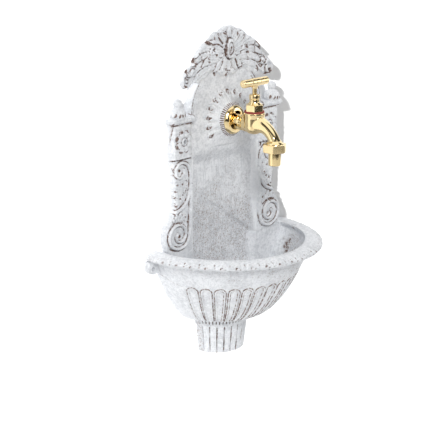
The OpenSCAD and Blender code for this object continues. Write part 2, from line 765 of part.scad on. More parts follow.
module back_plate() {
    color("whitesmoke") difference() {
        union() {
            plate_body();
            plate_relief();
        }
        niche_cut(plate_foot - over, niche_top);
        relief_layer(-over, hollow_depth) hollow_plan();
        along_inlet(-over) cylinder(r = boss_hollow_r, h = boss_inside + over);
        along_inlet(-over) cylinder(r = shank_r + free_gap, h = boss_depth + 2 * relief);
        both_sides() translate([rosette_x, over, rosette_z]) rotate([90, 0, 0])
            cylinder(r = screw_hole_r, h = block_depth + relief + 2 * over);
    }
    // tongues that reach down behind the basin's back wall
    color("whitesmoke") both_sides() difference() {
        relief_layer(hollow_depth - tongue_t, hollow_depth) tongue();
        translate([tongue_x, 0, bolt_z]) rotate([90, 0, 0])
            cylinder(r = bolt_r + free_gap, h = field_depth);
    }
}
module tongue() {
    translate([tongue_x - tongue_w / 2, bolt_z])
        square([tongue_w, plate_foot + tongue_reach - bolt_z]);
    translate([tongue_x, bolt_z]) circle(r = tongue_w / 2);
}

// Joint hardware, one on each side

module joint_place(depth) {
    both_sides() translate([bolt_x, -depth, bolt_z]) rotate([90, 0, 0]) children();
}

module joint_bolts() {
    bolt_end = 0.4;
    color("silver") {
        joint_place(bolt_end) cylinder(r = bolt_r, h = field_depth + washer_t - bolt_end);
        joint_place(field_depth + washer_t) rotate_extrude() polygon([[0, 0], [bolt_head_r, 0],
            [bolt_head_r, 0.3 * bolt_head_t], [0.8 * bolt_head_r, 0.8 * bolt_head_t],
            [0.45 * bolt_head_r, bolt_head_t], [0, bolt_head_t]]);
    }
}

module sealing_washers() {
    color("dimgray") joint_place(field_depth) ring(bolt_head_r + washer_t, bolt_r + run_gap, washer_t);
}

module joint_nuts() {
    color("silver") joint_place(hollow_depth - tongue_t - nut_t) difference() {
        cylinder(d = nut_af / cos(30), h = nut_t, $fn = 6);
        translate([0, 0, -over]) cylinder(r = bolt_r + run_gap, h = nut_t + 2 * over, $fn = 32);
    }
}

// Tap body and what holds it to the plate

module spout_path(r) {
    // level run out of the chamber, then a quarter bend down to the nozzle
    bend_out = nozzle_out - bend_r;
    translate([0, -valve_out, tap_z + spout_rise]) rotate([90, 0, 0])
        cylinder(r = r, h = bend_out - valve_out);
    translate([0, -bend_out, bend_z]) rotate([90, 0, -90]) rotate_extrude(angle = 90)
        translate([bend_r, 0]) circle(r = r);
}

module tap_shell() {
    upright(valve_out) rotate_extrude() polygon(concat(
        [for (a = [0:15:90]) [chamber_r * sin(a), tap_z - chamber_down + 0.45 * chamber_r * (1 - cos(a))]],
        [[chamber_r, chamber_top], [0, chamber_top]]));
    neck_from = flange_front - flange_dome;
    along_inlet(neck_from) rotate([0, 0, 30])
        cylinder(d = neck_af / cos(30), h = valve_out - neck_from - 0.6 * chamber_r, $fn = 6);
    along_inlet(valve_out - 1.45 * chamber_r)
        cylinder(r1 = 0.7 * chamber_r, r2 = 0.86 * chamber_r, h = chamber_r);
    along_inlet(nut_front - back_nut_t) cylinder(r = shank_r,
        h = flange_front - flange_dome - nut_front + back_nut_t);
    along_inlet(shank_end) cylinder(r = free_shank_r, h = nut_front - shank_end);
    // the spout swells where it leaves the chamber
    translate([0, -valve_out, tap_z + spout_rise]) rotate([90, 0, 0])
        cylinder(r1 = 1.5 * spout_r, r2 = spout_r, h = nozzle_out - bend_r - valve_out);
    spout_path(spout_r);
    translate([0, -nozzle_out, thread_foot + nozzle_thread_h - nozzle_lip])
        cylinder(r1 = 0.93 * nozzle_thread_r, r2 = spout_r, h = 0.8 * spout_r);
    translate([0, -nozzle_out, thread_foot])
        cylinder(r = nozzle_thread_r, h = nozzle_thread_h - nozzle_lip);
}

module tap_voids() {
    upright(valve_out) translate([0, 0, chamber_floor])
        cylinder(r = chamber_bore, h = chamber_top - chamber_floor + over);
    spout_path(spout_bore);
    translate([0, -nozzle_out, thread_foot - over])
        cylinder(r = spout_bore, h = bend_z - thread_foot + 2 * over);
}

module tap_body() {
    color("gold") difference() {
        union() {
            difference() {
                tap_shell();
                tap_voids();
            }
            // upright seat tube and the duct that feeds it from the inlet
            upright(valve_out) translate([0, 0, chamber_floor - over])
                cylinder(r = seat_r, h = seat_z - chamber_floor + over);
            along_inlet(valve_out - chamber_bore - over) translate([0, -0.25 * inlet_bore, 0])
                cylinder(r = inlet_bore + 0.6 * seat_skin, h = chamber_bore - seat_bore + over);
        }
        upright(valve_out) translate([0, 0, chamber_floor + over])
            cylinder(r = seat_bore, h = seat_z - chamber_floor);
        along_inlet(shank_end - over) translate([0, -0.25 * inlet_bore, 0])
            cylinder(r = inlet_bore, h = valve_out - shank_end + over);
    }
}

module wall_flange() {
    color("gold") along_inlet(boss_depth) rotate_extrude($fn = 72) polygon([
        [shank_r + run_gap, 0], [flange_r, 0], [flange_r, 0.8 * flange_edge],
        [0.98 * flange_r, flange_edge], [0.88 * flange_r, flange_edge + 0.5 * flange_dome],
        [0.74 * flange_r, flange_edge + 0.85 * flange_dome], [0.66 * flange_r, flange_edge + flange_dome],
        [0.64 * flange_r, flange_edge], [shank_r + run_gap, flange_edge]]);
}

module shank_seal() {
    color("dimgray") along_inlet(nut_front) ring(seal_r, shank_r + run_gap, seal_t);
}

module back_nut() {
    color("goldenrod") along_inlet(nut_front - back_nut_t) difference() {
        cylinder(d = back_nut_af / cos(30), h = back_nut_t, $fn = 6);
        translate([0, 0, -over]) cylinder(r = shank_r + run_gap, h = back_nut_t + 2 * over);
    }
}

// Headgear: gasket, bonnet, gland

module bonnet_gasket() {
    color("firebrick") upright(valve_out) translate([0, 0, chamber_top])
        ring(gasket_r, chamber_bore + run_gap, gasket_t);
}

module bonnet() {
    flare = bonnet_neck_r * 1.25;
    color("gold") upright(valve_out) difference() {
        union() {
            translate([0, 0, hex_bottom]) rotate([0, 0, 15])
                cylinder(d = bonnet_af / cos(30), h = bonnet_h, $fn = 6);
            translate([0, 0, chamber_top - bonnet_thread])
                cylinder(r = chamber_bore - run_gap, h = bonnet_thread + gasket_t + free_gap);
            translate([0, 0, hex_top]) cylinder(r1 = flare, r2 = bonnet_neck_r, h = 0.4 * bonnet_neck_h);
            translate([0, 0, hex_top]) cylinder(r = bonnet_neck_r, h = bonnet_neck_h);
            translate([0, 0, hex_top]) cylinder(r = gland_thread_r, h = packing_bottom - hex_top);
        }
        bonnet_foot = chamber_top - bonnet_thread;
        translate([0, 0, bonnet_foot - over])
            cylinder(r = collar_r + run_gap, h = collar_top + valve_lift + 2 * over - bonnet_foot);
        cylinder(r = spindle_r + run_gap, h = gland_top);
        // room for the jumper when the valve is open
        translate([0, 0, chamber_top - bonnet_thread - over])
            cylinder(r = jumper_r + free_gap, h = jumper_room - chamber_top + bonnet_thread + over);
    }
}
jumper_room = spindle_foot + valve_lift + free_gap;

module gland_packing() {
    color("lightgray") upright(valve_out) translate([0, 0, packing_bottom])
        ring(gland_thread_r, spindle_r + run_gap, packing_t);
}

module gland_nut() {
    color("gold") upright(valve_out) difference() {
        union() {
            translate([0, 0, neck_end]) cylinder(r = 0.92 * gland_r, h = gland_h);
            translate([0, 0, neck_end + 0.2 * gland_h]) cylinder(r = gland_r, h = 0.6 * gland_h);
        }
        translate([0, 0, neck_end - over])
            cylinder(r = gland_thread_r + run_gap, h = gland_h - gland_lip + over);
        translate([0, 0, neck_end]) cylinder(r = spindle_r + run_gap, h = gland_h + over);
    }
}

// Moving stack: spindle, handle and pin turn and rise, jumper and washer only rise

module pin_hole(r) {
    translate([0, 0, bar_z]) rotate([90, 0, 0]) cylinder(r = r, h = 4 * bar_r, center = true);
}

module spindle() {
    color("gold") upright(valve_out) difference() {
        union() {
            translate([0, 0, spindle_foot])
                cylinder(r = spindle_r, h = bar_z + 0.5 * bar_r - spindle_foot);
            translate([0, 0, spindle_foot + spindle_tip])
                cylinder(r = collar_r, h = collar_top - spindle_foot - spindle_tip);
        }
        translate([0, 0, spindle_foot - over])
            cylinder(r = jumper_stem_r + run_gap, h = jumper_stem_l + 2 * over);
        pin_hole(pin_r);
    }
}

module t_handle() {
    hub_r = 0.92 * bar_r;
    color("gold") upright(valve_out) difference() {
        union() {
            translate([0, 0, bar_z]) rotate([0, 90, 0]) rotate_extrude() polygon([
                [0, -bar_len / 2], [0.9 * bar_r, -bar_len / 2], [bar_r, -0.48 * bar_len],
                [0.94 * bar_r, -1.5 * bar_r], [1.06 * bar_r, -1.2 * bar_r],
                [1.06 * bar_r, 1.2 * bar_r], [0.94 * bar_r, 1.5 * bar_r],
                [bar_r, 0.48 * bar_len], [0.9 * bar_r, bar_len / 2], [0, bar_len / 2]]);
            translate([0, 0, hub_bottom]) cylinder(r1 = 0.82 * hub_r, r2 = hub_r, h = bar_z - hub_bottom);
        }
        translate([0, 0, hub_bottom - over]) cylinder(r = spindle_r + run_gap,
            h = bar_z + 0.5 * bar_r + over - hub_bottom + run_gap);
        pin_hole(pin_r);
    }
}

module handle_pin() {
    color("goldenrod") upright(valve_out) translate([0, 0, bar_z]) rotate([90, 0, 0])
        cylinder(r = pin_r - run_gap, h = 2.12 * bar_r, center = true);
}

module valve_jumper() {
    color("goldenrod") upright(valve_out) difference() {
        union() {
            translate([0, 0, jumper_bottom]) cylinder(r = jumper_r, h = jumper_t);
            translate([0, 0, jumper_bottom]) cylinder(r = jumper_stem_r, h = jumper_t + jumper_stem_l);
        }
        translate([0, 0, jumper_bottom - over])
            cylinder(r = rubber_bore - 3 * run_gap, h = screw_stem + over);
    }
}

module valve_washer() {
    color("dimgray") upright(valve_out) translate([0, 0, seat_z]) ring(rubber_r, rubber_bore, rubber_t);
}

module washer_screw() {
    color("goldenrod") upright(valve_out) {
        translate([0, 0, seat_z - screw_head_t]) cylinder(r = screw_head_r, h = screw_head_t);
        stem_from = seat_z - screw_head_t / 2;
        translate([0, 0, stem_from])
            cylinder(r = rubber_bore - 4 * run_gap, h = jumper_bottom + screw_stem - free_gap - stem_from);
    }
}

// Hose union: the nut turns and comes down its thread, and lets the tail down with it

module union_nut() {
    color("gold") upright(nozzle_out) difference() {
        translate([0, 0, union_foot]) intersection() {
            rotate([0, 0, 20]) cylinder(d = union_af / cos(30), h = union_h, $fn = 6);
            rotate_extrude() polygon([[0, 0], [0.53 * union_af, 0], [0.59 * union_af, 0.12 * union_h],
                [0.59 * union_af, 0.88 * union_h], [0.53 * union_af, union_h], [0, union_h]]);
        }
        translate([0, 0, union_foot + nut_lip]) cylinder(r = nozzle_thread_r + free_gap, h = union_h);
        translate([0, 0, union_foot - over]) cylinder(r = tail_r + free_gap, h = nut_lip + 2 * over);
    }
}

module hose_tail() {
    color("gold") upright(nozzle_out) difference() {
        union() {
            translate([0, 0, union_foot - tail_len]) cylinder(r = tail_r, h = tail_len - free_gap);
            translate([0, 0, union_foot - 2 * free_gap])
                cylinder(r = tail_r - neck_relief, h = nut_lip + tail_lip_t);
            translate([0, 0, union_foot + nut_lip]) cylinder(r = tail_lip_r, h = tail_lip_t);
        }
        translate([0, 0, union_foot - tail_len - over])
            cylinder(r = tail_bore, h = tail_len + nut_lip + tail_lip_t + 2 * over);
    }
}

module hose_gasket() {
    color("dimgray") upright(nozzle_out) translate([0, 0, tail_lip_top])
        ring(tail_lip_r, tail_bore, hose_gasket_t);
}

back_plate();
basin();
joint_bolts();
sealing_washers();
joint_nuts();
tap_body();
wall_flange();
shank_seal();
back_nut();
bonnet_gasket();
bonnet();
gland_packing();
gland_nut();
spindle();
t_handle();
handle_pin();
valve_jumper();
valve_washer();
washer_screw();
union_nut();
hose_tail();
hose_gasket();
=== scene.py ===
import bpy
import json
import math
import numpy as np
from mathutils import Matrix, Vector

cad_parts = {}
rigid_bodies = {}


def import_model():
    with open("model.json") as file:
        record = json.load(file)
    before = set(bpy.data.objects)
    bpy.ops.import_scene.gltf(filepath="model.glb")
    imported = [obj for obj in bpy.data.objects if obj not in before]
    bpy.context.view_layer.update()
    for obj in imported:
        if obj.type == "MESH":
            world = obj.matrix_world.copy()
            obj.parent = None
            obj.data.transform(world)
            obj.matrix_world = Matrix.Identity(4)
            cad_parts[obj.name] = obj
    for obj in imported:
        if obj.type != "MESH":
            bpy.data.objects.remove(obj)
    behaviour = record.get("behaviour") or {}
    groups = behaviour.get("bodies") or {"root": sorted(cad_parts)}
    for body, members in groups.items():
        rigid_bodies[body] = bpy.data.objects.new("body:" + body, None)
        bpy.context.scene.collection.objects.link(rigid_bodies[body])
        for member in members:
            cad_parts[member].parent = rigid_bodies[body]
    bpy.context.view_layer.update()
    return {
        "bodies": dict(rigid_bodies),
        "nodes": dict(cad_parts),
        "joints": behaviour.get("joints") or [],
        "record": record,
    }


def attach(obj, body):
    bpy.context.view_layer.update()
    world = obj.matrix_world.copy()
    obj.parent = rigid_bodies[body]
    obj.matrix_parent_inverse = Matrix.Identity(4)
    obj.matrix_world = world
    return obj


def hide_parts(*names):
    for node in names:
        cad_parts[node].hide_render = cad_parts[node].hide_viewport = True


for left in list(bpy.data.objects):  # the start-up cube, lamp and camera
    bpy.data.objects.remove(left)
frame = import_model()
mm = 0.001
print("frame loaded")


# small helpers

def deselectAll():
    if bpy.context.object and bpy.context.object.mode != "OBJECT":
        bpy.ops.object.mode_set(mode="OBJECT")
    bpy.ops.object.select_all(action="DESELECT")


def pick(obj):
    deselectAll()
    obj.select_set(True)
    bpy.context.view_layer.objects.active = obj


def named(name):
    obj = bpy.context.object
    obj.name = name
    obj.data.name = name
    return obj


def bakePlace(obj):  # the place goes into the mesh, the object stays at the origin
    pick(obj)
    bpy.ops.object.transform_apply(location=True, rotation=True, scale=True)
    return obj


def applied(obj, kind, **settings):
    pick(obj)
    mod = obj.modifiers.new(kind.lower(), kind)
    for key, value in settings.items():
        setattr(mod, key, value)
    bpy.ops.object.modifier_apply(modifier=mod.name)
    return obj


def cut(obj, tool, how="DIFFERENCE", keep=False):
    applied(obj, "BOOLEAN", object=tool, operation=how, solver="MANIFOLD")
    if not keep:
        mesh = tool.data
        bpy.data.objects.remove(tool)
        bpy.data.meshes.remove(mesh)
    return obj


def outwards(obj):
    pick(obj)
    bpy.ops.object.mode_set(mode="EDIT")
    bpy.ops.mesh.select_all(action="SELECT")
    bpy.ops.mesh.remove_doubles(threshold=0.00001)
    bpy.ops.mesh.normals_make_consistent(inside=False)
    bpy.ops.object.mode_set(mode="OBJECT")
    return obj


def smoothed(obj, angle=40):
    pick(obj)
    bpy.ops.object.shade_smooth_by_angle(angle=math.radians(angle))
    return obj


def coords(obj):
    co = np.empty(len(obj.data.vertices) * 3)
    obj.data.vertices.foreach_get("co", co)
    return co.reshape(-1, 3)


def moveTo(obj, points):
    obj.data.vertices.foreach_set("co", np.ascontiguousarray(points, dtype=float).ravel())
    obj.data.update()


def block(name, low, high):  # a box between two corners given as x, depth from the wall, z in mm
    mid = [(a + b) / 2 * mm for a, b in zip(low, high)]
    deselectAll()
    bpy.ops.mesh.primitive_cube_add(size=1, location=(mid[0], -mid[1], mid[2]))
    obj = named(name)
    obj.scale = [abs(b - a) * mm for a, b in zip(low, high)]
    return bakePlace(obj)


def spun(name, profile, place, axis="Z", steps=96):  # a turned piece: radius and height in mm
    deselectAll()
    bpy.ops.mesh.primitive_plane_add(size=0.001, location=(0, 0, 0))
    obj = named(name)
    pick(obj)
    bpy.ops.object.mode_set(mode="EDIT")
    bpy.ops.mesh.select_all(action="SELECT")
    bpy.ops.mesh.delete(type="VERT")
    bpy.ops.object.mode_set(mode="OBJECT")
    obj.data.from_pydata([(r * mm, 0, h * mm) for r, h in profile],
                         [(i, i + 1) for i in range(len(profile) - 1)], [])
    pick(obj)
    bpy.ops.object.mode_set(mode="EDIT")
    bpy.ops.mesh.select_all(action="SELECT")
    bpy.ops.mesh.spin(steps=steps, angle=2 * math.pi, center=(0, 0, 0), axis=(0, 0, 1))
    bpy.ops.mesh.select_all(action="SELECT")
    bpy.ops.mesh.remove_doubles(threshold=0.000004)
    bpy.ops.mesh.normals_make_consistent(inside=False)
    bpy.ops.object.mode_set(mode="OBJECT")
    turn = {"Z": Matrix(), "Y": Matrix.Rotation(math.radians(90), 4, "X"),
            "X": Matrix.Rotation(math.radians(90), 4, "Y")}[axis]
    obj.data.transform(Matrix.Translation([place[0] * mm, -place[1] * mm, place[2] * mm]) @ turn)
    return obj


def rounded(profile, radius=0.5, steps=4):  # softens the corners of a lathe profile
    out = [profile[0]]
    for a, b, c in zip(profile[:-2], profile[1:-1], profile[2:]):
        a, b, c = np.array(a), np.array(b), np.array(c)
        la, lc = np.linalg.norm(a - b), np.linalg.norm(c - b)
        r = min(radius, la * 0.45, lc * 0.45)
        p, q = b + (a - b) / la * r, b + (c - b) / lc * r
        for i in range(steps + 1):
            t = i / steps
            out.append(tuple((1 - t) ** 2 * p + 2 * t * (1 - t) * b + t * t * q))
    out.append(profile[-1])
    return out


def prism(name, points, near, far, mirror=False):  # a flat outline of x and z, thick from near to far
    if mirror:
        points = list(points) + [(-x, z) for x, z in reversed(points)]
        points = [p for i, p in enumerate(points) if i == 0 or np.hypot(p[0] - points[i - 1][0], p[1] - points[i - 1][1]) > 0.01]
        if np.hypot(points[0][0] - points[-1][0], points[0][1] - points[-1][1]) < 0.01:
            points = points[:-1]
    deselectAll()
    bpy.ops.mesh.primitive_circle_add(vertices=len(points), radius=0.01, fill_type="NGON", location=(0, 0, 0))
    obj = named(name)
    moveTo(obj, [(x * mm, -near * mm, z * mm) for x, z in points])
    pick(obj)
    bpy.ops.object.mode_set(mode="EDIT")
    bpy.ops.mesh.select_all(action="SELECT")
    bpy.ops.mesh.extrude_region_move(TRANSFORM_OT_translate={"value": (0, -(far - near) * mm, 0)})
    bpy.ops.object.mode_set(mode="OBJECT")
    return outwards(obj)


# carving: a sheet of depths over x and z, as a carver cuts a panel

def smoothPath(points, steps=10):
    p = np.array(points, float)
    p = np.vstack([2 * p[0] - p[1], p, 2 * p[-1] - p[-2]])
    out = []
    for i in range(1, len(p) - 2):
        for t in np.linspace(0, 1, steps, endpoint=False):
            out.append(0.5 * (2 * p[i] + (p[i + 1] - p[i - 1]) * t
                              + (2 * p[i - 1] - 5 * p[i] + 4 * p[i + 1] - p[i + 2]) * t * t
                              + (3 * p[i] - p[i - 1] - 3 * p[i + 1] + p[i + 2]) * t ** 3))
    out.append(p[-2])
    return np.array(out)


def newSheet(width, low, high, cell, left=0.0):
    xs = left + np.arange(0, round((width - left) / cell) + 1) * cell
    zs = low + np.arange(0, round((high - low) / cell) + 1) * cell
    x, z = np.meshgrid(xs, zs)
    return {"x": x, "z": z, "low": low, "left": left, "cell": cell, "rise": np.zeros_like(x)}


def nearPath(sheet, path, reach):
    path = np.asarray(path, float)
    lo, hi, cell = path.min(0) - reach, path.max(0) + reach, sheet["cell"]
    rows, cols = sheet["x"].shape
    js = slice(max(int((lo[1] - sheet["low"]) / cell), 0), min(int((hi[1] - sheet["low"]) / cell) + 2, rows))
    lo[0], hi[0] = lo[0] - sheet["left"], hi[0] - sheet["left"]
    i0, i1 = max(int(lo[0] / cell), 0), min(int(hi[0] / cell) + 2, cols)
    win = (js, slice(i0, i1))
    x, z = sheet["x"][win][..., None], sheet["z"][win][..., None]
    a, d = path[:-1], path[1:] - path[:-1]
    long = np.maximum(np.hypot(d[:, 0], d[:, 1]), 1e-9)
    start = np.concatenate([[0], np.cumsum(long)])
    t = np.clip(((x - a[:, 0]) * d[:, 0] + (z - a[:, 1]) * d[:, 1]) / long ** 2, 0, 1)
    ex, ez = x - a[:, 0] - t * d[:, 0], z - a[:, 1] - t * d[:, 1]
    far = np.hypot(ex, ez)
    k = far.argmin(-1)[..., None]
    take = lambda v: np.take_along_axis(v, k, -1)[..., 0]
    dist = take(far)
    side = np.sign(take(np.broadcast_to(d[:, 0] * ez - d[:, 1] * ex, far.shape))) * dist
    share = take(np.broadcast_to(start[:-1] + t * long, far.shape)) / start[-1]
    return win, dist, side, share, start[-1]


def smoothStep(v):
    v = np.clip(v, 0, 1)
    return v * v * (3 - 2 * v)


def carveBand(sheet, path, wide, wideEnd, rise, riseEnd=None, groove=0.5, flat=2.5):
    wide2 = max(wide, wideEnd)
    win, dist, side, share, long = nearPath(sheet, path, wide2 + 2)
    half = (wide + (wideEnd - wide) * share) / 2
    top = rise + ((rise if riseEnd is None else riseEnd) - rise) * share
    u = dist / half
    body = np.where(u < 1, top * np.sqrt(np.clip(1 - u ** flat, 0, 1)), -1)
    edge = np.clip((dist - half) / 1.1, 0, 1)
    now = sheet["rise"][win]
    now = now - groove * np.sin(math.pi * edge) * (u >= 1)
    sheet["rise"][win] = np.where(body > 0, np.maximum(body, now * 0.3), now)


def carveLeaf(sheet, path, wide, rise, curl=1.0, veins=4, rib=0.5, groove=0.5, fat=0.7):
    win, dist, side, share, long = nearPath(sheet, path, wide)
    half = wide / 2 * np.clip(np.sin(math.pi * np.clip(0.12 + 0.86 * share ** fat, 0, 1)), 0.02, 1) ** 0.75
    u = side / half
    a = np.abs(u)
    lift = rise * (0.55 + 0.45 * share ** 1.3)
    body = lift * np.sqrt(np.clip(1 - a ** 2.4, 0, 1))
    body -= rib * rise * np.exp(-(u / 0.16) ** 2) * (1 - share ** 4)
    body -= 0.28 * rise * a * (0.5 + 0.5 * np.cos(2 * math.pi * (veins * share - 0.9 * a))) * (a < 1)
    body += curl * np.exp(-((share - 0.9) / 0.1) ** 2 - (u / 0.7) ** 2)
    now = sheet["rise"][win]
    edge = np.clip((dist - half) / 1.2, 0, 1)
    now = now - groove * np.sin(math.pi * edge) * (a >= 1) * (share < 0.999)
    sheet["rise"][win] = np.where((a < 1) & (body > 0), np.maximum(body, now * 0.35), now)


def carveBead(sheet, x, z, r, rise, pit=0.0, pitR=1.0):
    win, dist, side, share, long = nearPath(sheet, [(x - 0.01, z), (x + 0.01, z)], r + 2)
    body = rise * np.sqrt(np.clip(1 - (dist / r) ** 2, 0, 1))
    now = sheet["rise"][win] - 0.35 * rise * np.sin(math.pi * np.clip((dist - r) / 1.2, 0, 1))
    now = np.where(dist < r, np.maximum(body, now), now)
    sheet["rise"][win] = now - pit * np.exp(-(dist / pitR) ** 2)


def drill(sheet, x, z, r, depth):
    win, dist, side, share, long = nearPath(sheet, [(x - 0.01, z), (x + 0.01, z)], 3 * r)
    sheet["rise"][win] -= depth * np.exp(-(dist / r) ** 2)


def stain(sheet, path, half, strength):  # a brown stroke, a little sunk
    win, dist, side, share, long = nearPath(sheet, smoothPath(path, 4) if len(path) > 1 else [path[0], (path[0][0] + 0.02, path[0][1])], 3 * half)
    sheet["rise"][win] = np.maximum(sheet["rise"][win], strength * np.exp(-(dist / half) ** 2))


def blurred(a, reach):
    n = max(int(reach), 1)
    k = np.exp(-(np.arange(-3 * n, 3 * n + 1) / reach) ** 2 / 2)
    k /= k.sum()
    pad = 3 * n
    b = np.pad(a, pad, mode="edge")
    b = np.apply_along_axis(lambda r: np.convolve(r, k, "valid"), 0, b)
    return np.apply_along_axis(lambda r: np.convolve(r, k, "valid"), 1, b)


def insideOf(x, z, poly):
    poly = np.asarray(poly)
    inside = np.zeros(x.shape, bool)
    for (ax, az), (bx, bz) in zip(poly, np.roll(poly, -1, 0)):
        if az != bz:
            inside ^= ((az > z) != (bz > z)) & (x < (bx - ax) * (z - az) / (bz - az) + ax)
    return inside


def signedDistance(sheet, poly):  # below zero inside the outline
    path = np.vstack([poly, poly[:1]])
    best = np.full(sheet["x"].shape, 1e9)
    for a, b in zip(path[:-1], path[1:]):
        d = b - a
        t = np.clip(((sheet["x"] - a[0]) * d[0] + (sheet["z"] - a[1]) * d[1]) / max(d @ d, 1e-12), 0, 1)
        best = np.minimum(best, (sheet["x"] - a[0] - t * d[0]) ** 2 + (sheet["z"] - a[1] - t * d[1]) ** 2)
    return np.where(insideOf(sheet["x"], sheet["z"], path[:-1]), -1, 1) * np.sqrt(best)


# back plate

plateSizes = {
    "cell": 0.62, "fieldFront": 11.0, "nicheFront": 3.0, "blockFront": 14.0, "foot": 138.0,
    "blockLow": 251.0, "blockHigh": 292.0, "capHigh": 300.5, "archZ": 300.0, "archR": 60.5,
    "tapZ": 289.0, "medalZ": 373.0, "edgeRound": 1.6, "hollow": 7.5, "wall": 6.0,
    "screwX": 72.5, "screwZ": 271.5, "screwR": 2.75, "tapHoleR": 10.7, "boltX": 67.0, "boltZ": 88.0,
    "fanLeaves": 13, "ridges": 46, "petals": 8,
}


def crestOutline():
    half = [(0, 400), (7, 399.2), (13, 396.8), (16.6, 394.6), (20, 395), (25.5, 392.6), (31.5, 388),
            (35.5, 384.6), (40, 383.4), (45.9, 379), (51.4, 373.6), (56.7, 368), (59.6, 362.6), (60.7, 358.2),
            (63.5, 357.6), (68.6, 354.8), (73.6, 349.6), (76.6, 342.6), (75.3, 336.6), (70.9, 332.8),
            (65.7, 333), (61.5, 335.2), (55.9, 338.6)]
    return [tuple(p) for p in smoothPath(half, 5)] + [(46, 336), (30, 325), (0, 322)]


def shaftOutline(foot=138.0):
    half = [(86, 252), (85.6, 246), (85, 238), (83.8, 228), (82.6, 214), (81.8, 200), (82.4, 192), (85, 184.5),
            (90, 177.5), (95, 170), (97.4, 161), (97.4, 152), (95.6, 143.5), (93.6, 138), (93.6, foot)]
    return [(0, 252)] + [tuple(p) for p in smoothPath(half, 5)] + [(0, foot)]


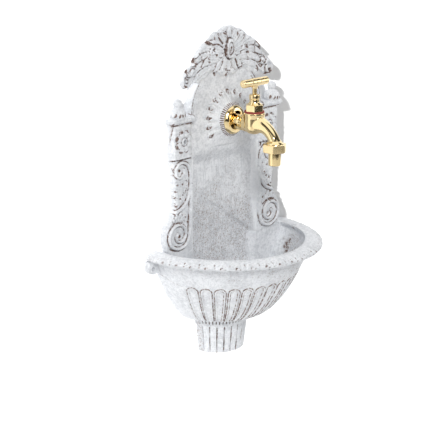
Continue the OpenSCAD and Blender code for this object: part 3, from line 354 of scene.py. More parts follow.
def carvePlate():
    s = plateSizes
    sheet = newSheet(103, 136, 403, s["cell"])
    x, z = sheet["x"], sheet["z"]
    # the plain masses of the casting
    base = np.full_like(x, s["fieldFront"])
    inBlock = (z > s["blockLow"] - 0.3) & (z < s["blockHigh"] + 1)
    base += np.where(inBlock, 3 * smoothStep((x - 56.5) / 8), 0)
    ledge = np.clip(1 - ((z - 252.4) / 1.9) ** 2, 0, 1) ** 0.5 * smoothStep((x - 56.5) / 2)
    base = np.maximum(base, s["fieldFront"] + 4 * ledge)
    capRow = np.interp(z - s["blockHigh"], [-0.1, 0, 1.9, 2.9, 4.8, 6.8, 8.5, 9.2], [0, 14, 14.2, 16.1, 17, 17, 16.1, 15.4])
    onCap = (z > s["blockHigh"]) & (z < s["capHigh"] + 0.6) & (x > 57)
    base = np.where(onCap, np.maximum(base, capRow), base)
    toTap = np.hypot(x, z - s["tapZ"])
    dome = np.interp(toTap, [0, 18.4, 21.35, 24.85, 29.75, 35, 39.5, 41.5], [24, 24, 20.5, 17.5, 14.5, 12.3, 11.2, 0])
    base = np.maximum(base, dome)
    crest = signedDistance(sheet, np.array(crestOutline() + [(-a, b) for a, b in reversed(crestOutline())]))
    toMedal = np.hypot(x / 1.0, (z - s["medalZ"]))
    crestBase = 13.2 + 2.4 * smoothStep(1 - toMedal / 42)
    onCrest = smoothStep(-crest / 2.0) * (z > 345 - 0.0 * x)
    below = smoothStep((z - 343 + 4 * np.sin(x / 5.2)) / 4)
    base = np.where(crest < 0, np.maximum(base, 11 + (crestBase - 11) * np.maximum(below, smoothStep((np.hypot(x, z - s["archZ"]) - 58) / 3))), base)
    # niche: draft walls that run into the floor in a fillet
    nicheSide = 3 + 8 * np.clip((x - 51.3) / 3.9, 0, 1) + 1.3 * np.exp(-np.clip(51.3 - x, 0, 99) / 4.5)
    nicheTop = 3 + 8 * smoothStep((z - 236.0) / 21)
    inNiche = (x < 55.4) & (z < 257)
    base = np.where(inNiche, np.minimum(base, np.maximum(nicheSide, nicheTop)), base)
    # rope round the arch: two ribs, each twisted
    toArch = np.where(z > s["archZ"], np.hypot(x, z - s["archZ"]), x)
    along = np.where(z > s["archZ"], np.arctan2(z - s["archZ"], x) * 58, z - s["archZ"])
    onRope = (z > s["blockHigh"] - 1) & (crest > -1.5)
    for radius in (56.4, 59.6):
        u = (toArch - radius) / 1.35
        twist = 0.86 + 0.14 * np.cos(2 * math.pi * (along / 3.4 + 0.35 * u))
        rib = 1.8 * np.sqrt(np.clip(1 - u ** 2, 0, 1)) * twist
        sheet["rise"] = np.where(onRope & (np.abs(u) < 1), np.maximum(sheet["rise"], rib), sheet["rise"])
    gap = np.exp(-((toArch - 58.0) / 0.5) ** 2) + 0.8 * np.exp(-((toArch - 54.6) / 0.6) ** 2)
    dashes = 0.5 + 0.5 * np.cos(2 * math.pi * along / 3.4)
    sheet["rise"] -= np.where(onRope & (toArch < 60), 1.7 * gap * (0.12 + 0.88 * dashes ** 0.7), 0)
    # dark joint under the blocks, above the niche and under the caps
    for level, depth, start in ((250.2, 1.5, 56.5), (291.6, 1.1, 59)):
        sheet["rise"] -= depth * np.exp(-((z - level) / 0.65) ** 2) * smoothStep((x - start) / 2) * (x < 90)
    # fan of leaves round the tap, each with a curled tip, and short ridges close to the flange
    for k in range(s["fanLeaves"]):
        a = math.radians(-32 + 244 * k / (s["fanLeaves"] - 1))
        if math.cos(a) < -0.02:
            continue
        ray = [(r * math.cos(a + (r - 24) * 0.004), s["tapZ"] + r * math.sin(a + (r - 24) * 0.004)) for r in (23, 27, 32, 36.5)]
        carveLeaf(sheet, smoothPath(ray, 5), 9.2, 1.7, curl=1.6, veins=1.2, rib=0.3, groove=0.35, fat=1.5)
        for r, off, size, deep in ((34.4, 0.035, 1.15, 1.9), (37.2, -0.07, 1.0, 1.2), (31.0, 0.1, 0.8, 0.8)):
            drill(sheet, r * math.cos(a + off), s["tapZ"] + r * math.sin(a + off), size, deep)
    angle = np.arctan2(z - s["tapZ"], x)
    comb = 0.5 + 0.5 * np.cos(angle * s["ridges"])
    ring = smoothStep((toTap - 17.2) / 1.2) * smoothStep((21.6 - toTap) / 1.4)
    sheet["rise"] += ring * (1.9 * comb ** 0.8 - 1.5)
    # rosette: cupped petals round a pierced button
    rx, rz = x - s["screwX"], z - s["screwZ"]
    rr, ra = np.hypot(rx, rz), np.arctan2(rz, rx)
    turn = 2 * math.pi / s["petals"]
    pa = (ra % turn) - turn / 2
    px, pz = rr * np.cos(pa) - 9.2, rr * np.sin(pa)
    pu = np.sqrt((px / 4.5) ** 2 + (pz / 3.55) ** 2)
    petal = np.where(pu < 1, 2.6 * np.sqrt(np.clip(1 - pu ** 2.6, 0, 1)) - 0.8 * np.exp(-(pu / 0.5) ** 2), 0)
    petal -= 0.5 * np.exp(-((pu - 1.08) / 0.16) ** 2) * (rr > 4) + 1.6 * np.exp(-((rr - 13.4) / 0.9) ** 2 - (pz / 2.6) ** 2)
    button = np.where(rr < 4.9, 2.4 * np.sqrt(np.clip(1 - (rr / 4.9) ** 3, 0, 1)), 0) - 0.9 * np.exp(-((rr - 5.3) / 0.55) ** 2)
    rose = np.where(rr < 5.1, button, petal + np.where(rr < 6.2, button, 0))
    sheet["rise"] = np.where(rr < 15, np.maximum(rose, -1.1), sheet["rise"])
    # S-scroll with its curled head, hanging leaf with drilled eyes, and the leaf tuft
    carveLeaf(sheet, smoothPath([(76.5, 228), (75.5, 218), (76, 206), (79.5, 193)], 8), 21, 1.9, curl=0.2,
              veins=5, rib=0.25, fat=0.55)
    sweep = [(76.3, 236.2), (77.8, 238.8), (74.6, 241.2), (70.4, 237.6), (71.6, 231.2), (77, 228), (82, 231.6),
             (83.2, 238.4), (79.8, 244.2), (73.5, 246.2), (65, 243), (60.2, 234.2), (59.3, 218.7),
             (62.6, 203.5), (70.5, 193), (82.3, 187.2)]
    carveBand(sheet, smoothPath(sweep[3:], 8), 2.6, 4.2, 2.8, groove=1.5, flat=3)
    drill(sheet, 76.6, 237.2, 1.7, 2.6)
    for bx, bz in ((81.3, 220.4), (73.4, 220.6), (66.4, 220.4), (80.6, 212.4), (67.8, 211.6), (72.6, 207.4),
                   (79.6, 204.6), (74.6, 202.4), (79.4, 195.6)):
        carveBead(sheet, bx, bz, 2.6, 2.6, pit=3.4, pitR=1.2)
    for a in (28, 62, 98, 136):
        c, d = math.cos(math.radians(a)), math.sin(math.radians(a))
        carveLeaf(sheet, smoothPath([(77 + 3 * c, 173 + 3 * d), (77 + 8 * c, 173 + 9 * d), (77 + 12 * c, 173 + 14 * d)], 6),
                  7.4, 2.3, curl=0.9, veins=2, groove=0.8)
    for dx in (-9.5, -3.2, 3.2, 9.5):
        drill(sheet, 77.6 + dx, 175.6 - abs(dx) * 0.22, 1.1, 1.3)
    # big volute: the border strip of the niche runs down and coils up under the tuft
    turns = [(180, 17.0), (225, 16.6), (270, 16.0), (315, 15.9), (360, 15.9), (405, 15.2), (450, 13.8), (495, 12.0), (540, 10.2),
             (585, 8.6), (630, 7.2), (675, 6.0), (720, 5.0), (765, 4.2)]
    coil = [(57.6, 216), (58.0, 203), (58.6, 188), (59.2, 176), (59.8, 168)] + [(77.8 + r * math.cos(math.radians(a)), 158.0 + r * math.sin(math.radians(a))) for a, r in turns]
    volute = smoothPath(coil, 6)
    win, dist, side, share, long = nearPath(sheet, [(77.8, 158.0), (77.81, 158.0)], 24)
    bowl = np.where(dist < 19, 0.8 * smoothStep((19 - dist) / 6), 0)
    sheet["rise"][win] = np.where(dist < 18.5, np.maximum(0, bowl), sheet["rise"][win])
    carveBand(sheet, volute, 5.8, 2.8, 2.9, 3.6, groove=1.5, flat=3.2)
    drill(sheet, 76.6, 157.2, 2.2, 3.6)
    # crest: radial lobes round the medallion, long arms, curled ends, hanging leaves
    leaves = [([(0, 383), (0, 391), (0, 398.4)], 9.5, 3.2, 0.6, 2),
              ([(4.6, 382), (8.2, 389), (12.4, 394.6)], 8.6, 3.0, 1.0, 2),
              ([(8.5, 379), (16.5, 385), (22.6, 391.2)], 10.5, 3.2, 1.4, 3),
              ([(10, 375.5), (22, 380), (34, 383.4)], 9.6, 3.1, 1.3, 3),
              ([(11, 371), (28, 375), (44, 376.4), (56.5, 367.5)], 9.5, 3.2, 1.2, 5),
              ([(12, 366), (28, 368.6), (45, 367), (61, 358.6)], 9.0, 3.0, 1.4, 5),
              ([(14, 360.5), (30, 361.4), (46, 357.4), (60, 347)], 9.0, 2.9, 1.2, 5),
              ([(24, 352.5), (38, 351.5), (50, 345.6), (58, 338.8)], 7.4, 2.4, 0.8, 4),
              ([(0, 362.5), (0, 355), (0, 346.2)], 7.4, 2.9, 1.2, 2),
              ([(5, 363), (8, 355), (13.4, 346.4)], 7.0, 2.9, 1.2, 2),
              ([(9, 362.6), (15.4, 355.4), (22.6, 347.4)], 7.6, 2.9, 1.2, 3)]
    for path, wide, rise, curl, veins in leaves:
        carveLeaf(sheet, smoothPath(path, 8), wide, rise, curl=curl, veins=veins, groove=0.55, fat=1.0)
    curlPath = [(69.7 + 0.95 * r * math.cos(math.radians(a)), 342.6 + r * math.sin(math.radians(a)))
                for a, r in ((140, 8.6), (95, 8.0), (50, 6.8), (5, 6.2), (-45, 6.4), (-90, 6.6), (-135, 5.6), (-185, 4.4),
                             (-240, 3.4), (-300, 2.4))]
    carveBand(sheet, smoothPath([(54, 352), (59, 353.5)] + curlPath, 6), 4.2, 2.2, 3.0, 3.8, groove=1.1, flat=3)
    carveBead(sheet, 69.4, 342.4, 1.9, 3.8)
    ringPath = [(27.4 + r * math.cos(math.radians(a)), 371.6 + r * math.sin(math.radians(a))) for a, r in
                ((200, 5.4), (140, 4.8), (80, 4.3), (20, 3.8), (-40, 3.2), (-100, 2.4), (-170, 1.8))]
    carveBand(sheet, smoothPath(ringPath, 6), 2.4, 1.8, 3.4, groove=0.9, flat=3)
    for ex, ez, er, ed in ((25.5, 375, 1.3, 2.2), (36.2, 372, 1.1, 1.6), (20.2, 366.6, 1.5, 2.4), (31.8, 364.8, 1.7, 2.6),
                           (31.8, 359.6, 1.4, 2.2), (44.5, 366.4, 1.5, 2.2), (48.5, 347, 1.3, 2.0), (60.5, 363.4, 2.0, 2.4),
                           (56, 354.4, 1.4, 2.0), (65.5, 335.4, 1.4, 1.6), (69, 352.2, 1.4, 1.8), (17.6, 388.6, 1.3, 1.8),
                           (7, 387.6, 1.2, 2.0), (5.4, 392.6, 1.1, 1.6), (14, 391.6, 1.0, 1.2), (28, 385.2, 1.4, 1.8),
                           (21, 346.4, 1.5, 1.6), (4.4, 348.2, 1.2, 1.6), (17.4, 347.0, 1.3, 1.6), (66.8, 343.5, 1.3, 1.6)):
        drill(sheet, ex, ez, er, ed)
    mu = np.sqrt((x / 5.7) ** 2 + ((z - s["medalZ"]) / 10.0) ** 2)
    oval = 3.0 + 0.9 * np.clip(1 - mu ** 2, 0, 1) + 1.6 * np.sqrt(np.clip(1 - ((mu - 1.0) / 0.17) ** 2, 0, 1))
    oval -= 1.3 * np.exp(-((mu - 0.74) / 0.08) ** 2) + 2.6 * np.exp(-((x - 0.4) / 0.9) ** 2 - ((z - 371.6) / 3.4) ** 2)
    sheet["rise"] = np.where(mu < 1.24, oval, sheet["rise"])
    sheet["rise"] -= 1.9 * np.exp(-((mu - 1.26) / 0.09) ** 2)
    drill(sheet, 0.6, 369.5, 1.5, 2.2)
    # niche stays plain
    sheet["rise"] = np.where(inNiche & (x < 54), 0, sheet["rise"])
    depth = base + sheet["rise"]
    depth = 0.35 * depth + 0.65 * blurred(depth, 0.8)
    sheet["depth"] = depth
    wide, fine = blurred(depth, 5.0), blurred(depth, 2.0)
    hollow = np.clip(0.5 * np.clip(fine - depth, -1, 2) + 0.22 * np.clip(wide - depth, -2, 4), -1, 1.5)
    # no wear in the niche; its side walls and the border beside them get a value below zero, a painted highlight
    hollow = np.where(inNiche | (onCrest < 0.5) & (x < 57.4) & (z < 253.4), -0.32 * smoothStep((x - 50) / 1.5) * smoothStep((252 - z) / 4), hollow)
    hollow = np.where((toTap > 17) & (toTap < 22), 1.7 * (1 - comb) ** 1.6 * smoothStep((21.4 - toTap) / 1.2) - 0.1, hollow)
    hollow = np.where(onRope & (toArch < 60.2), np.maximum(hollow, 1.5 * gap * dashes ** 1.5), hollow)
    petalTip = np.exp(-((rr - 12.6) / 0.9) ** 2 - (pz / 2.4) ** 2)
    hollow = np.where(rr < 15, np.maximum(hollow, 1.6 * petalTip), hollow)
    # brown dashes round the foot of each finial's cup
    cup = np.exp(-((z - 304.4 - 0.9 * np.cos(x * 1.3)) / 1.5) ** 2) * smoothStep((10 - np.abs(x - 80)) / 2)
    hollow = np.where(z > 301.2, np.where(np.abs(x - 80) < 12, 2.0 * cup * (0.5 + 0.5 * np.cos(2 * math.pi * (x - 80) / 4.1)), hollow), hollow)
    sheet["hollowness"] = hollow
    # rounded front edge along the outline
    shaft = signedDistance(sheet, np.array(shaftOutline(124) + [(-a, b) for a, b in reversed(shaftOutline(124))]))
    arch = np.hypot(x, z - s["archZ"]) - s["archR"]
    archLegs = np.maximum(x - s["archR"], np.abs(z - 285) - 30)
    blocks = np.maximum(x - 87.3, np.abs(z - 275.0) - 25.4)
    caps = np.maximum(x - 93.4, np.abs(z - 296.25) - 4.25)
    caps = np.where((x > 89.2), np.hypot(x - 89.2, np.maximum(np.abs(z - 296.25) - 0.2, 0)) - 4.2, caps)
    sheet["edge"] = np.minimum.reduce([shaft, arch, archLegs, blocks])
    edge = np.minimum.reduce([sheet["edge"], caps, crest])
    r = s["edgeRound"]
    soft = np.clip(1 + edge / r, 0, 1)
    drop = r * (1 - np.sqrt(np.clip(1 - soft ** 2, 0, 1)))
    crestSoft = np.clip(1 + edge / 3.4, 0, 1)
    drop = np.where(crest < 0.5, np.maximum(drop, 3.2 * (1 - np.sqrt(np.clip(1 - crestSoft ** 2, 0, 1)))), drop)
    sheet["depth"] = depth - drop
    return sheet


plateStains = [  # half width, strength and points of the brown strokes on the crest and the volutes
    (0.9, 1.5, [(2.9, 396.6), (3.6, 390.2)]), (0.9, 1.3, [(12, 394.7), (14.6, 389.9), (13.2, 386.5)]),
    (1.0, 1.5, [(-17.5, 391.6), (-18.1, 387.2), (-14.8, 383.2), (-11.6, 380.2)]),
    (0.9, 1.4, [(-11.1, 392.7), (-4.7, 389.3), (-4.6, 385.7)]), (0.8, 1.0, [(17.3, 387.8), (13.4, 383.7)]),
    (0.8, 1.0, [(27.8, 385.8), (20, 379.3)]), (1.3, 1.6, [(-36, 383.8), (-32.5, 381.2)]),
    (0.8, 1.3, [(-33.8, 384.5), (-27.5, 380.2), (-19.9, 380.2), (-12.2, 375.7)]), (1.1, 1.4, [(-25.5, 375)]),
    (1.1, 1.3, [(-36.2, 372.2)]), (1.3, 1.4, [(-19.7, 366.7)]), (1.5, 1.5, [(-31.7, 364.5)]), (1.3, 1.5, [(-31.6, 359.6)]),
    (2.4, 1.9, [(-58.9, 367.4), (-57, 365)]), (1.6, 1.6, [(-56, 361.5), (-54, 359)]), (0.8, 1.0, [(-50, 372.5), (-45, 368), (-44, 361)]),
    (0.8, 1.1, [(-46, 356), (-42, 362), (-36, 367)]), (0.9, 1.2, [(-10.7, 362), (-14.4, 349.7)]), (1.4, 1.6, [(-20.7, 346), (-19.5, 343.6)]),
    (0.9, 1.3, [(2.2, 356.8), (4.3, 348.3), (0.5, 346.6), (-4.1, 347.6)]),
    (0.9, 1.4, [(9.9, 359.5), (14, 351.7), (18, 347.5), (23.1, 352.4)]), (1.0, 1.3, [(29.3, 374.6), (29.6, 371)]),
    (1.5, 1.5, [(33.0, 364.6)]), (1.0, 1.2, [(32.8, 358.3)]), (0.9, 1.3, [(45.3, 362.4), (44, 369), (43.8, 374.8)]),
    (0.9, 1.2, [(44, 377), (49, 374), (53.3, 366.4)]), (1.2, 1.3, [(55, 354.1), (52, 348), (57, 344), (62, 350)]),
    (0.9, 1.2, [(48.4, 346.5), (52, 340)]), (1.9, 1.8, [(70.6, 340.4), (72.2, 338.9)]), (1.3, 1.6, [(56.7, 334.6), (63, 333.2), (69.2, 336.3)]),
    (0.9, 1.2, [(57.6, 364), (61.4, 360), (64.4, 352)]), (1.1, 1.4, [(-67.1, 356.3), (-69.5, 349.5)]), (1.4, 1.4, [(-71.0, 346), (-69, 344.4)]),
    (1.6, 1.6, [(-72.6, 338), (-71, 335.8)]), (1.4, 1.5, [(-67.7, 333.3), (-66, 331.8)]),
    (1.0, 1.3, [(-91.5, 144.4), (-85.5, 141.4), (-78, 140.2), (-70, 142)]),
    (0.7, 1.0, [(-70, 142), (-62.4, 147.4), (-58.8, 155), (-58.4, 163)]), (1.0, 1.2, [(68, 141.6), (77, 140.4), (86, 143.4)]),
    (0.8, 1.1, [(86, 143.4), (94, 151), (95.6, 160), (91, 170), (84, 175), (76, 175.4), (66, 170.4)]),
    (1.5, 1.7, [(-76.3, 236.9)]), (1.7, 1.9, [(-76.4, 157.0)]), (1.5, 1.5, [(76.4, 157.0)]),
    (0.7, 1.3, [(-92, 251.4), (-86, 250.6)]), 
    (0.8, 1.3, [(-88, 292.2), (-74, 292.2), (-60.4, 292.6)]),
    (0.8, 1.4, [(61, 292.2), (74, 292.4), (90, 292.4)]), (1.3, 1.6, [(-91.4, 294.5), (-89.4, 293)]), (1.2, 1.2, [(61.6, 251.6), (60.6, 246.0)])]
pitMarks = [  # the dark spots between the berries and in the tuft, the same on both sides
    (81, 220.2), (72.3, 220.4), (83.3, 212.4), (67.5, 211.3), (71.4, 206.7), (82.5, 204.7), (76.2, 203.5), (80.9, 194.9),
    (66.5, 179.2), (63.3, 173.2), (72.1, 173.7), (77.7, 173.6), (85.6, 174.6)]


def sheetSolid(name, x, z, depth, back):  # a closed slab whose front is the carved sheet
    rows, cols = depth.shape
    deselectAll()
    bpy.ops.mesh.primitive_grid_add(x_subdivisions=cols - 1, y_subdivisions=rows - 1, size=1, location=(0, 0, 0))
    obj = named(name)
    points = np.stack([x, -depth, z], -1).reshape(-1, 3) * mm
    moveTo(obj, points)
    pick(obj)
    bpy.ops.object.mode_set(mode="EDIT")
    bpy.ops.mesh.select_all(action="DESELECT")
    bpy.ops.mesh.select_non_manifold()
    bpy.ops.mesh.extrude_region_move(TRANSFORM_OT_translate={"value": (0, 0, 0)})
    bpy.ops.object.mode_set(mode="OBJECT")
    sel = np.empty(len(obj.data.vertices), bool)
    obj.data.vertices.foreach_get("select", sel)
    co = coords(obj)
    co[sel, 1] = -back * mm
    moveTo(obj, co)
    pick(obj)
    bpy.ops.object.mode_set(mode="EDIT")
    bpy.ops.mesh.edge_face_add()
    bpy.ops.mesh.select_all(action="SELECT")
    bpy.ops.mesh.normals_make_consistent(inside=False)
    bpy.ops.object.mode_set(mode="OBJECT")
    return obj


def mirroredSheet(a, odd=False):
    return np.concatenate([(-1 if odd else 1) * a[:, :0:-1], a], 1)


def buildPlate():
    s = plateSizes
    sheet = carvePlate()
    x, z = mirroredSheet(sheet["x"], True), mirroredSheet(sheet["z"])
    marks = {"x": x, "z": z, "low": sheet["low"], "left": x.min(), "cell": sheet["cell"], "rise": np.zeros_like(x)}
    for half, strength, path in plateStains:
        stain(marks, path, half, strength)
    for k in range(s["fanLeaves"]):  # the curled tip of each leaf of the fan
        a = math.radians(-32 + 244 * k / (s["fanLeaves"] - 1))
        cx, cz = 32.6 * math.cos(a), s["tapZ"] + 32.6 * math.sin(a)
        curl = [(cx + 2.3 * math.cos(a + b), cz + 2.3 * math.sin(a + b)) for b in np.radians([150, 100, 50, 0, -50])]
        stain(marks, curl, 0.75, 1.15 + 0.4 * math.sin(5.3 * k))
        stain(marks, [(cx, cz), (0.9 * cx, s["tapZ"] + 0.9 * (cz - s["tapZ"]))], 0.8, 1.0 + 0.4 * math.cos(3.1 * k))
    for side in (-1, 1):
        for px, pz in pitMarks:
            stain(marks, [(side * px, pz)], 1.15, 1.5)
        for radius, strength in ((58.0, 1.45), (54.7, 1.1)):  # the rope's dashes up to the crest
            for k in range(13):
                up = 3.5 * k - 6
                dash = [(max(up, 0) + b) / radius for b in (-0.8, 0.8)]
                stain(marks, [(side * radius * math.cos(a), s["archZ"] + min(up, 0) + radius * math.sin(a)) for a in dash], 0.62, strength)
    for mu, half, strength in ((1.27, 0.75, 1.5), (0.74, 0.6, 1.2)):  # round the medallion and inside it
        ring = [(5.7 * mu * math.cos(a), s["medalZ"] + 10 * mu * math.sin(a)) for a in np.radians(np.arange(0, 361, 20))]
        stain(marks, ring, half, strength)
    stain(marks, [(0.4, 375.0), (0.6, 368.2)], 0.9, 1.6)
    marks["hollowness"] = np.maximum(mirroredSheet(sheet["hollowness"]), marks["rise"])
    plate = sheetSolid("plateCasting", x, z, mirroredSheet(sheet["depth"]) - 0.7 * np.minimum(marks["rise"], 1.5), -4)
    print("plate sheet carved", plate.data.vertices[0].co)
    # trimmed to its outline
    deselectAll()
    bpy.ops.mesh.primitive_cylinder_add(vertices=160, radius=s["archR"] * mm, depth=0.04,
                                        location=(0, -0.02, s["archZ"] * mm), rotation=(math.pi / 2, 0, 0))
    trim = bakePlace(named("trim"))
    capEnd = [(89.2 + 4.2 * math.cos(a), 296.25 + 4.2 * math.sin(a)) for a in np.linspace(math.pi / 2, -math.pi / 2, 17)]
    for part in (prism("crestTrim", crestOutline(), 10.2, 40, True), prism("shaftTrim", shaftOutline(), 0, 40, True),
                 block("blockTrim", (-87.3, 0, 248.6), (87.3, 40, 300.4)),
                 prism("capTrim", [(0, 300.45)] + capEnd + [(0, 292.05)], 3, 40, True)):
        cut(trim, part, "UNION")
    cut(plate, trim, "INTERSECT")
    # hollow back
    step = max(int(round(1.5 / s["cell"])), 1)
    hx, hz, edge = sheet["x"][::step, ::step], sheet["z"][::step, ::step], sheet["edge"][::step, ::step]
    deep = s["hollow"] * smoothStep((-edge - s["wall"] + 1.4) / 1.6)
    nicheWall = np.maximum(hx - 58.6, hz - 251.2)
    deep = np.minimum(deep, s["hollow"] * smoothStep(nicheWall / 1.6))
    deep = np.minimum(deep, s["hollow"] * smoothStep((hz - s["foot"] - s["wall"]) / 1.6))
    deep = np.where(hz > 262, np.minimum(deep, s["hollow"] * smoothStep((hx - 1.6) / 1.4)), deep)
    toTap = np.hypot(hx, hz - s["tapZ"])
    deep = np.maximum(deep, 13 * smoothStep((19.4 - toTap) / 1.2))
    toScrew = np.hypot(hx - s["screwX"], hz - s["screwZ"])
    deep = np.minimum(deep, s["hollow"] * smoothStep((toScrew - 5.2) / 1.4))
    deep = np.where(deep < 0.05, -0.6, deep)
    tool = sheetSolid("hollowTool", mirroredSheet(hx, True), mirroredSheet(hz), mirroredSheet(deep), -3)
    cut(plate, tool)
    # holes for tap and screws
    for hole, hr, hxx, hzz in (("tapHole", s["tapHoleR"], 0, s["tapZ"]), ("screwL", s["screwR"], -s["screwX"], s["screwZ"]),
                               ("screwR", s["screwR"], s["screwX"], s["screwZ"])):
        cut(plate, spun(hole, [(0, -5), (hr, -5), (hr, 45), (0, 45)], (hxx, 0, hzz), "Y", 64))
    # finials: a ball on a bell
    profile = rounded([(0, -1.2), (8.4, -1.2), (8.4, 0.2), (10, 2.4), (10, 4.8), (9, 8.2), (7.2, 10.8), (5.2, 12.4), (4.4, 13.2)], 0.6, 3)
    ball = [(5.6 * math.cos(a), 17.2 + 5.6 * math.sin(a)) for a in np.linspace(-0.72, math.pi / 2, 16)]
    for side in (-1, 1):
        finial = spun("finial", profile + ball[:-1] + [(0, 22.8)], (side * 80, 10.4, 300.2), "Z", 96)
        co = coords(finial) / mm
        turn = np.arctan2(-co[:, 1] - 10.4, co[:, 0] - side * 80)  # eight soft leaves round the cup
        leafy = 0.55 * np.abs(np.sin(4 * turn)) ** 0.6 * np.clip(np.sin((co[:, 2] - 301) / 12.5 * math.pi), 0, 1) * (co[:, 2] < 313.5)
        far = np.hypot(co[:, 0] - side * 80, co[:, 1] + 10.4) + 1e-6
        co[:, 0] += (co[:, 0] - side * 80) / far * (leafy - 0.35 * (leafy > 0))
        co[:, 1] += (co[:, 1] + 10.4) / far * (leafy - 0.35 * (leafy > 0))
        co[:, 1] = np.minimum(co[:, 1], -0.05)
        moveTo(finial, co * mm)
        cut(plate, finial, "UNION")
        lug = prism("tongue", [(side * 67 + 7.7 * math.cos(a), 88 + 7.7 * math.sin(a)) for a in np.linspace(math.pi, 2 * math.pi, 17)]
                    + [(side * 67 + 7.7, 162), (side * 67 - 7.7, 162)], 3.8, 7.9)
        cut(plate, lug, "UNION")
        cut(plate, spun("boltHole", [(0, 0), (2.8, 0), (2.8, 12), (0, 12)], (side * 67, 0, 88), "Y", 40))
    tris = sum(len(p.vertices) - 2 for p in plate.data.polygons)
    applied(plate, "DECIMATE", decimate_type="COLLAPSE", ratio=min(1.0, 188000 / tris))
    print("plate triangles", tris, "to", sum(len(p.vertices) - 2 for p in plate.data.polygons))
    smoothed(plate, 50)
    markWearAndHighlight(plate, lambda co, normal: np.where(normal[:, 1] > 0.35, 0, sampleSheet(marks, co, normal)))
    return plate


def sampleSheet(sheet, co, normal):
    c = sheet["cell"]
    u = np.clip((co[:, 0] / mm - sheet["left"]) / c, 0, sheet["x"].shape[1] - 1.001)
    v = np.clip((co[:, 2] / mm - sheet["low"]) / c, 0, sheet["x"].shape[0] - 1.001)
    i, j = u.astype(int), v.astype(int)
    fu, fv = u - i, v - j
    a = sheet["hollowness"]
    val = (a[j, i] * (1 - fu) * (1 - fv) + a[j, i + 1] * fu * (1 - fv) + a[j + 1, i] * (1 - fu) * fv + a[j + 1, i + 1] * fu * fv)
    front = (-co[:, 1] / mm > 2.4) & (normal[:, 1] < 0.3)
    return np.where(front, val, 0.0)


def markWearAndHighlight(obj, sample):  # stores how deep each point lies below its surroundings, for the wear in hollows, and values below zero that give a painted highlight
    co = coords(obj)
    normal = np.empty(len(co) * 3)
    obj.data.vertex_normals.foreach_get("vector", normal)
    values = sample(co, normal.reshape(-1, 3))
    layer = obj.data.attributes.new("hollowness", "FLOAT", "POINT")
    layer.data.foreach_set("value", values.astype(np.float32))


# Basin

basinSizes = {
    "steps": 420, "spacing": 0.98, "flutes": 14, "flutePitch": 9.9, "fluteLow": 47.5, "fluteTop": 104.5,
    "rimLeaves": 22, "dentils": 29, "pendantFlutes": 12, "backWall": 11.0, "floor": 53.0,
    "footHalf": 97.3, "footZ": 138.0, "earX": 116.0, "earZ": 124.5, "earR": 6.5, "earThick": 8.0,
    "boltX": 67.0, "boltZ": 88.0, "drainY": 18.55, "drainR": 5.5,
}


def bowlWidth(z):
    return 44 + 66 * (np.clip(z - 46, 0, 99) / 84.5) ** 0.52


def bowlReach(z):
    return 42 + 70 * (np.clip(z - 46, 0, 99) / 84.5) ** 0.47


def skinProfile():  # rows of height, half width and reach, evenly spaced along the skin
    foot = [(0.0, 31.0, 29.0), (0.25, 32.4, 30.4), (1.0, 33.3, 31.3), (2.2, 33.6, 31.6)]
    side = [(z, 33.6 + 3.4 * t, 31.6 + 3.4 * t) for t, z in ((t, 2.2 + 32.4 * t) for t in np.linspace(0.1, 1, 12))]
    neck = [(36.2, 38.2, 36.2), (37.4, 39.6, 37.6), (39, 40.1, 38.1), (41.6, 40.9, 38.9), (43.4, 42.8, 40.8), (45, 43.8, 41.8), (46, 44.0, 42.0)]
    bowl = [(z, bowlWidth(z), bowlReach(z)) for z in 46 + 84.5 * np.linspace(0.02, 1, 70) ** 1.4]
    rim = smoothPath3([(130.5, 110, 112), (132.8, 114.2, 118.6), (134.6, 118.6, 125.4), (136.2, 121.6, 129.1), (137.6, 122.0, 129.5),
                       (139.2, 120.5, 127.8), (141.3, 117.0, 124.4), (142.7, 112.4, 119.8), (142.9, 108, 115.4), (142.2, 103.6, 111),
                       (141.2, 100.8, 108.2), (140.6, 99.4, 106.9)], 10)
    rows = np.array(foot + side + neck + bowl + [tuple(r) for r in rim[1:]])
    run = np.concatenate([[0], np.cumsum(np.hypot(np.diff(rows[:, 2]), np.diff(rows[:, 0])))])
    even = np.linspace(0, run[-1], int(run[-1] / basinSizes["spacing"]))
    return np.stack([np.interp(even, run, rows[:, i]) for i in range(3)], -1)


def smoothPath3(points, steps):
    p = np.array(points, float)
    p = np.vstack([2 * p[0] - p[1], p, 2 * p[-1] - p[-2]])
    out = []
    for i in range(1, len(p) - 2):
        for t in np.linspace(0, 1, steps, endpoint=False):
            out.append(0.5 * (2 * p[i] + (p[i + 1] - p[i - 1]) * t
                              + (2 * p[i - 1] - 5 * p[i] + 4 * p[i + 1] - p[i + 2]) * t * t
                              + (3 * p[i] - p[i - 1] - 3 * p[i + 1] + p[i + 2]) * t ** 3))
    out.append(p[-2])
    return np.array(out)


def halfOval(rows, steps, back):
    a = np.radians(np.linspace(0, 180, steps + 1))
    z, w, d = rows[:, 0:1], rows[:, 1:2], rows[:, 2:3]
    return np.stack([w * np.cos(a), -back - (d - back) * np.sin(a), z + 0 * a], -1)


def gridNormals(grid):
    du = np.gradient(grid, axis=1)
    dv = np.gradient(grid, axis=0)
    n = np.cross(du, dv)
    n /= np.maximum(np.linalg.norm(n, axis=-1, keepdims=True), 1e-9)
    if n[n.shape[0] // 2, n.shape[1] // 2, 1] > 0:
        n = -n
    return n


